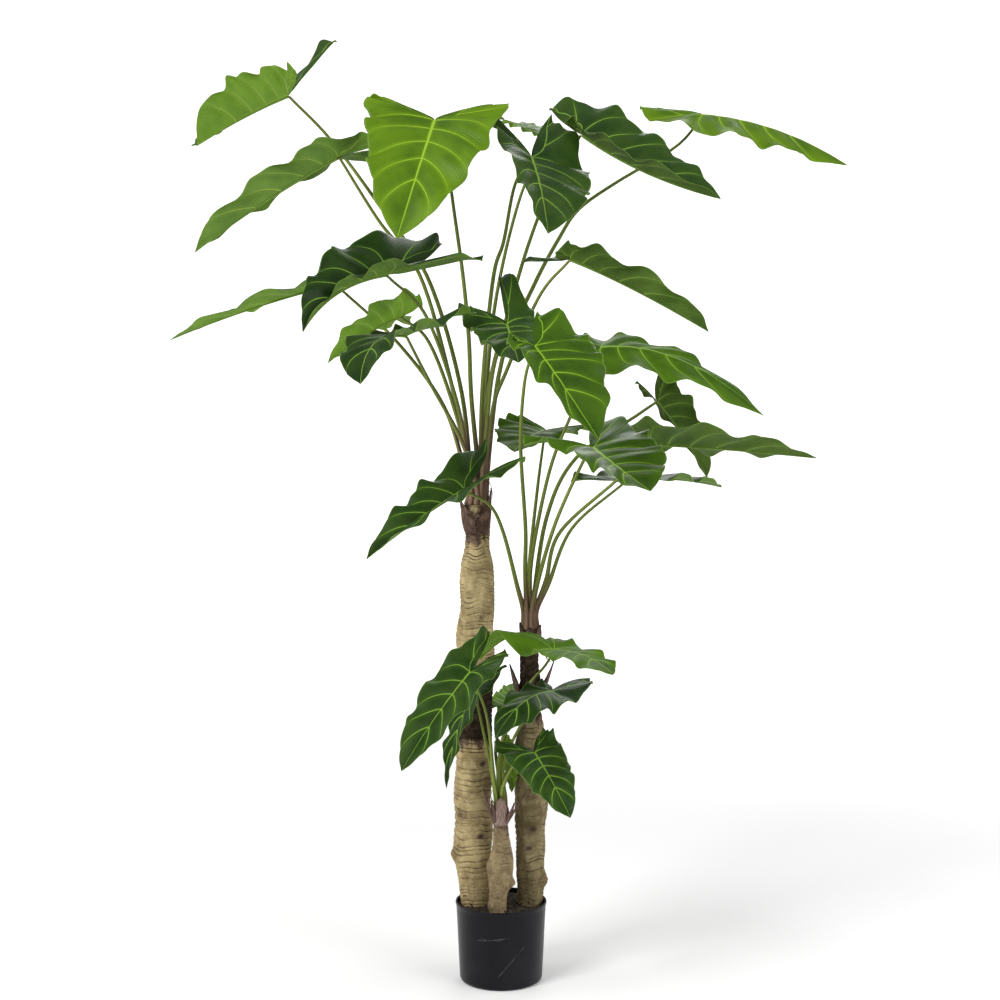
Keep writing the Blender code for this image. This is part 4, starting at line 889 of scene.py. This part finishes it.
# Flaps of the husks: turn, half width in degrees, height, flare, bow, lean, paleness
HUSK_FLAPS = {
    "husk_tall": ((-0.045, 0.008, 0.846), 0.0222, [
        (216, 56, 0.066, 0.0105, 0.6, -0.42, 0.1), (314, 50, 0.058, 0.0035, 1.0, 0.25, 0.0),
        (350, 34, 0.086, 0.004, 1.0, 0.0, 0.15), (90, 85, 0.064, 0.006, 1.4, 0.1, 0.0),
        (150, 52, 0.056, 0.007, 1.2, 0.2, 0.0), (268, 30, 0.03, 0.001, 1.0, 0.1, 0.0)]),
    "husk_right_top": ((0.055, 0.008, 0.634), 0.0176, [
        (262, 60, 0.036, 0.0015, 1.0, 0.1, 0.0), (190, 55, 0.044, 0.002, 1.0, 0.0, 0.0),
        (335, 50, 0.04, 0.0025, 1.0, 0.0, 0.1), (90, 80, 0.04, 0.003, 1.0, 0.0, 0.0)]),
    "husk_right_low": ((0.0545, 0.008, 0.516), 0.02, [
        (172, 50, 0.082, 0.0185, 1.05, 0.12, 0.25), (4, 36, 0.088, 0.025, 1.15, -0.05, 0.1),
        (255, 48, 0.034, 0.0025, 1.0, -0.1, 0.0), (305, 45, 0.04, 0.005, 1.0, 0.1, 0.0),
        (90, 75, 0.062, 0.01, 1.2, 0.0, 0.0)]),
    "husk_small": ((-0.001, -0.045, 0.306), 0.0138, [
        (196, 24, 0.068, 0.019, 0.95, 0.0, 0.1), (222, 20, 0.048, 0.009, 1.0, 0.0, 0.2),
        (284, 56, 0.056, 0.0035, 0.6, -0.25, 0.75), (346, 22, 0.06, 0.034, 1.1, 0.0, 0.1),
        (322, 20, 0.044, 0.017, 1.0, 0.1, 0.25), (90, 75, 0.044, 0.006, 1.0, 0.0, 0.0)]),
}
HUSK_STRANDS = {
    "husk_tall": [
        ([(-0.03, -0.012, 0.945), (-0.022, -0.016, 0.943), (-0.017, -0.018, 0.928), (-0.015, -0.018, 0.91),
          (-0.013, -0.018, 0.9)], 0.0011),
        ([(-0.026, -0.012, 0.93), (-0.019, -0.018, 0.922), (-0.018, -0.018, 0.91), (-0.021, -0.018, 0.903)],
         0.0008)],
    "husk_right_top": [
        ([(0.062, -0.009, 0.64), (0.076, -0.01, 0.636), (0.082, -0.012, 0.622), (0.086, -0.012, 0.612),
          (0.095, -0.012, 0.604)], 0.0024)],
    "husk_right_low": [],
    "husk_small": [
        ([(-0.006, -0.058, 0.322), (-0.012, -0.062, 0.345), (-0.019, -0.064, 0.362), (-0.016, -0.062, 0.374)],
         0.0014)],
}
# Blades: name, two greens, veins, paler zones, roughness, paleness towards the margin and gloss
LEAF_EDGE = (0.17, 0.28, 0.05)
BRIGHT_VEIN = (0.3, 0.5, 0.03)
RICH_VEIN = (0.25, 0.44, 0.025)
PALE_VEIN = (0.21, 0.38, 0.045)
# the five upper tones are lit and shaded copies of one leaf green: painted light and shade
TOP_SKINS = [
    ("leaf_bright", (0.05, 0.116, 0.004), (0.09, 0.18, 0.005), BRIGHT_VEIN, (0.16, 0.29, 0.009), 0.42),
    ("leaf_rich", (0.022, 0.06, 0.003), (0.042, 0.1, 0.004), RICH_VEIN, (0.085, 0.18, 0.008), 0.42),
    ("leaf_mid", (0.03, 0.078, 0.004), (0.062, 0.132, 0.006), PALE_VEIN, (0.1, 0.2, 0.012), 0.48, 0.35,
     0.06),
    ("leaf_dark", (0.014, 0.04, 0.006), (0.031, 0.066, 0.009), PALE_VEIN, (0.048, 0.108, 0.014), 0.38, 0.25),
    ("leaf_deep", (0.008, 0.024, 0.004), (0.018, 0.043, 0.006), PALE_VEIN, (0.03, 0.074, 0.01), 0.36, 0.22),
]
UNDER_SKINS = [
    ("leaf_under_pale", (0.12, 0.245, 0.016), (0.17, 0.325, 0.026), (0.3, 0.46, 0.07), (0.2, 0.36, 0.04),
     0.5, 0.2),
    ("leaf_under", (0.08, 0.16, 0.022), (0.122, 0.225, 0.032), (0.26, 0.4, 0.06), (0.15, 0.27, 0.04),
     0.5, 0.2),
    ("leaf_under_dull", (0.05, 0.096, 0.014), (0.08, 0.142, 0.02), (0.2, 0.33, 0.05), (0.11, 0.2, 0.03),
     0.5, 0.2),
]
# Bark: name, light and dark tan, painted highlight on raised spots and share of the ring lines
BARK_FIBRE = (0.07, 0.042, 0.03)
BARK_SKINS = {
    "trunk_tall": ("bark_tan", (0.5, 0.395, 0.205), (0.24, 0.18, 0.085), (0.6, 0.485, 0.275), 0.84),
    # right trunk: olive-brown bark whose tans are darkened further as painted shadow of the tall trunk
    "trunk_right": ("bark_olive_shaded", (0.3, 0.245, 0.13), (0.135, 0.105, 0.052), (0.36, 0.29, 0.17), 0.7),
    "trunk_small": ("bark_worn", (0.36, 0.285, 0.155), (0.17, 0.125, 0.066), (0.45, 0.355, 0.21), 0.25),
}


def build_looks():
    tops = [leaf_skin(*row) for row in TOP_SKINS]
    unders = [leaf_skin(*row) for row in UNDER_SKINS]
    stalk = petiole_skin()
    for leaves, crown, radii, brown_reach in ((TALL_LEAVES, TALL_TRUNK[-1], TALL_PETIOLE, 0.27),
                                              (RIGHT_LEAVES, RIGHT_TRUNK[-1], RIGHT_PETIOLE, 0.15),
                                              (SMALL_LEAVES, SMALL_TRUNK[-1], SMALL_PETIOLE, 0.05)):
        for leaf in map(Leaf._make, leaves):
            leaf_piece(leaf, crown, radii, brown_reach, [tops[leaf.upper], unders[leaf.lower], stalk])
    bark = {node: bark_skin(*row) for node, row in BARK_SKINS.items()}
    # share 0.95 round z 0.51 on the tall trunk: dark fibre with painted shadow of the small leaves above it
    trunk_piece("trunk_tall", TALL_TRUNK, 11, 0.0105, 0.0026, TALL_KNOTS, bark, 104, 560,
                lambda z: 0.62 * ease(z, 0.812, 0.836) + 0.95 * (1 - ease(np.abs(z - 0.51), 0.035, 0.09)))
    trunk_piece("trunk_right", RIGHT_TRUNK, 12, 0.0115, 0.0022, RIGHT_KNOTS, bark, 96, 380,
                lambda z: 0.9 * ease(z, 0.46, 0.512))
    trunk_piece("trunk_small", SMALL_TRUNK, 13, 0.012, 0.0012, SMALL_KNOTS, bark, 72, 170,
                lambda z: 0.7 * ease(z, 0.27, 0.315))
    husk = husk_skin()
    for node, (centre, radius, flaps) in HUSK_FLAPS.items():
        husk_piece(node, [(centre, radius + 0.0005 * (k % 3)) + f for k, f in enumerate(flaps)],
                   HUSK_STRANDS[node], husk)
    pot_piece(pot_skin())
    soil_piece(soil_skin())


# ---- Floor, surround, lamps and camera ----

FLOOR_RADIUS = 9
FLOOR_FADE = (0.8, 4.0)
SURROUND_REACH = 40
SKY = 0.42
# Lamps: place, point aimed at, size and power
LAMPS = {
    "key": ((-2.4, -2.6, 3.4), (0, 0, 1.0), 1.6, 130), "fill": ((2.8, -2.2, 2.0), (0, 0, 0.9), 2.0, 55),
    "left": ((-3.2, 0.2, 1.4), (0, 0, 0.9), 2.4, 40), "right": ((3.2, 0.2, 1.4), (0, 0, 0.9), 2.4, 40),
    "back": ((0.5, 3.2, 3.0), (0, 0, 1.2), 2.0, 40),
}
CAMERA_PLACE = (-0.002, -3.0, 1.04)
CAMERA_TILT = 87.5
CAMERA_LENS = 57.6
CAMERA_SENSOR = 36.0


def stage_object(name, vertices, faces, material):
    mesh = bpy.data.meshes.new(name)
    mesh.from_pydata(vertices, [], faces)
    mesh.materials.append(material)
    item = bpy.data.objects.new(name, mesh)
    bpy.context.scene.collection.objects.link(item)
    return item


def build_floor():
    """Pale floor that melts into a white surround, which lights nothing and throws no shadow."""
    net = Net("floor_pale")
    spot = net.place()
    far = net.tree.nodes.new("ShaderNodeVectorMath")
    far.operation = "LENGTH"
    net.tree.links.new(spot, far.inputs[0])
    net.put(net.shader.inputs["Alpha"], net.ramp(far.outputs["Value"], *FLOOR_FADE, 1.0, 0.0))
    net.finish(net.mix(net.noise(spot, 0.5), (0.86, 0.86, 0.86), (0.88, 0.88, 0.88)), 0.9, None, 0.1)
    turns = [math.pi * k / 24 for k in range(48)]
    ring = [(FLOOR_RADIUS * math.cos(turn), FLOOR_RADIUS * math.sin(turn), 0) for turn in turns]
    stage_object("floor", ring, [tuple(range(48))], net.material)
    net = Net("surround_white")
    net.finish((0.9, 0.9, 0.9), 1.0, None, 0.0)
    net.shader.inputs["Emission Color"].default_value = (1.0, 1.0, 1.0, 1.0)
    net.shader.inputs["Emission Strength"].default_value = 1.0
    ends = (-SURROUND_REACH, SURROUND_REACH)
    box = [(x, y, z) for z in ends for y in ends for x in ends]
    sides = [(0, 1, 3, 2), (4, 6, 7, 5), (0, 4, 5, 1), (2, 3, 7, 6), (0, 2, 6, 4), (1, 5, 7, 3)]
    surround = stage_object("surround", box, sides, net.material)
    surround.visible_diffuse = False
    surround.visible_glossy = False
    surround.visible_transmission = False
    surround.visible_shadow = False


def build_light():
    for name, (place, aim, size, power) in LAMPS.items():
        lamp = bpy.data.lights.new(name, "AREA")
        lamp.size = size
        lamp.energy = power
        item = bpy.data.objects.new(name, lamp)
        item.location = place
        item.rotation_euler = (Vector(aim) - Vector(place)).to_track_quat("-Z", "Y").to_euler()
        bpy.context.scene.collection.objects.link(item)
    world = bpy.data.worlds.new("studio")
    world.use_nodes = True
    world.node_tree.nodes["Background"].inputs["Color"].default_value = (1.0, 1.0, 1.0, 1.0)
    world.node_tree.nodes["Background"].inputs["Strength"].default_value = SKY
    bpy.context.scene.world = world
    bpy.context.scene.view_settings.view_transform = "Standard"


def build_camera():
    camera = bpy.data.cameras.new("camera")
    camera.lens = CAMERA_LENS
    camera.sensor_width = CAMERA_SENSOR
    item = bpy.data.objects.new("camera", camera)
    item.location = CAMERA_PLACE
    item.rotation_euler = (math.radians(CAMERA_TILT), 0, 0)
    bpy.context.scene.collection.objects.link(item)
    bpy.context.scene.camera = item


build_looks()
build_floor()
build_light()
build_camera()
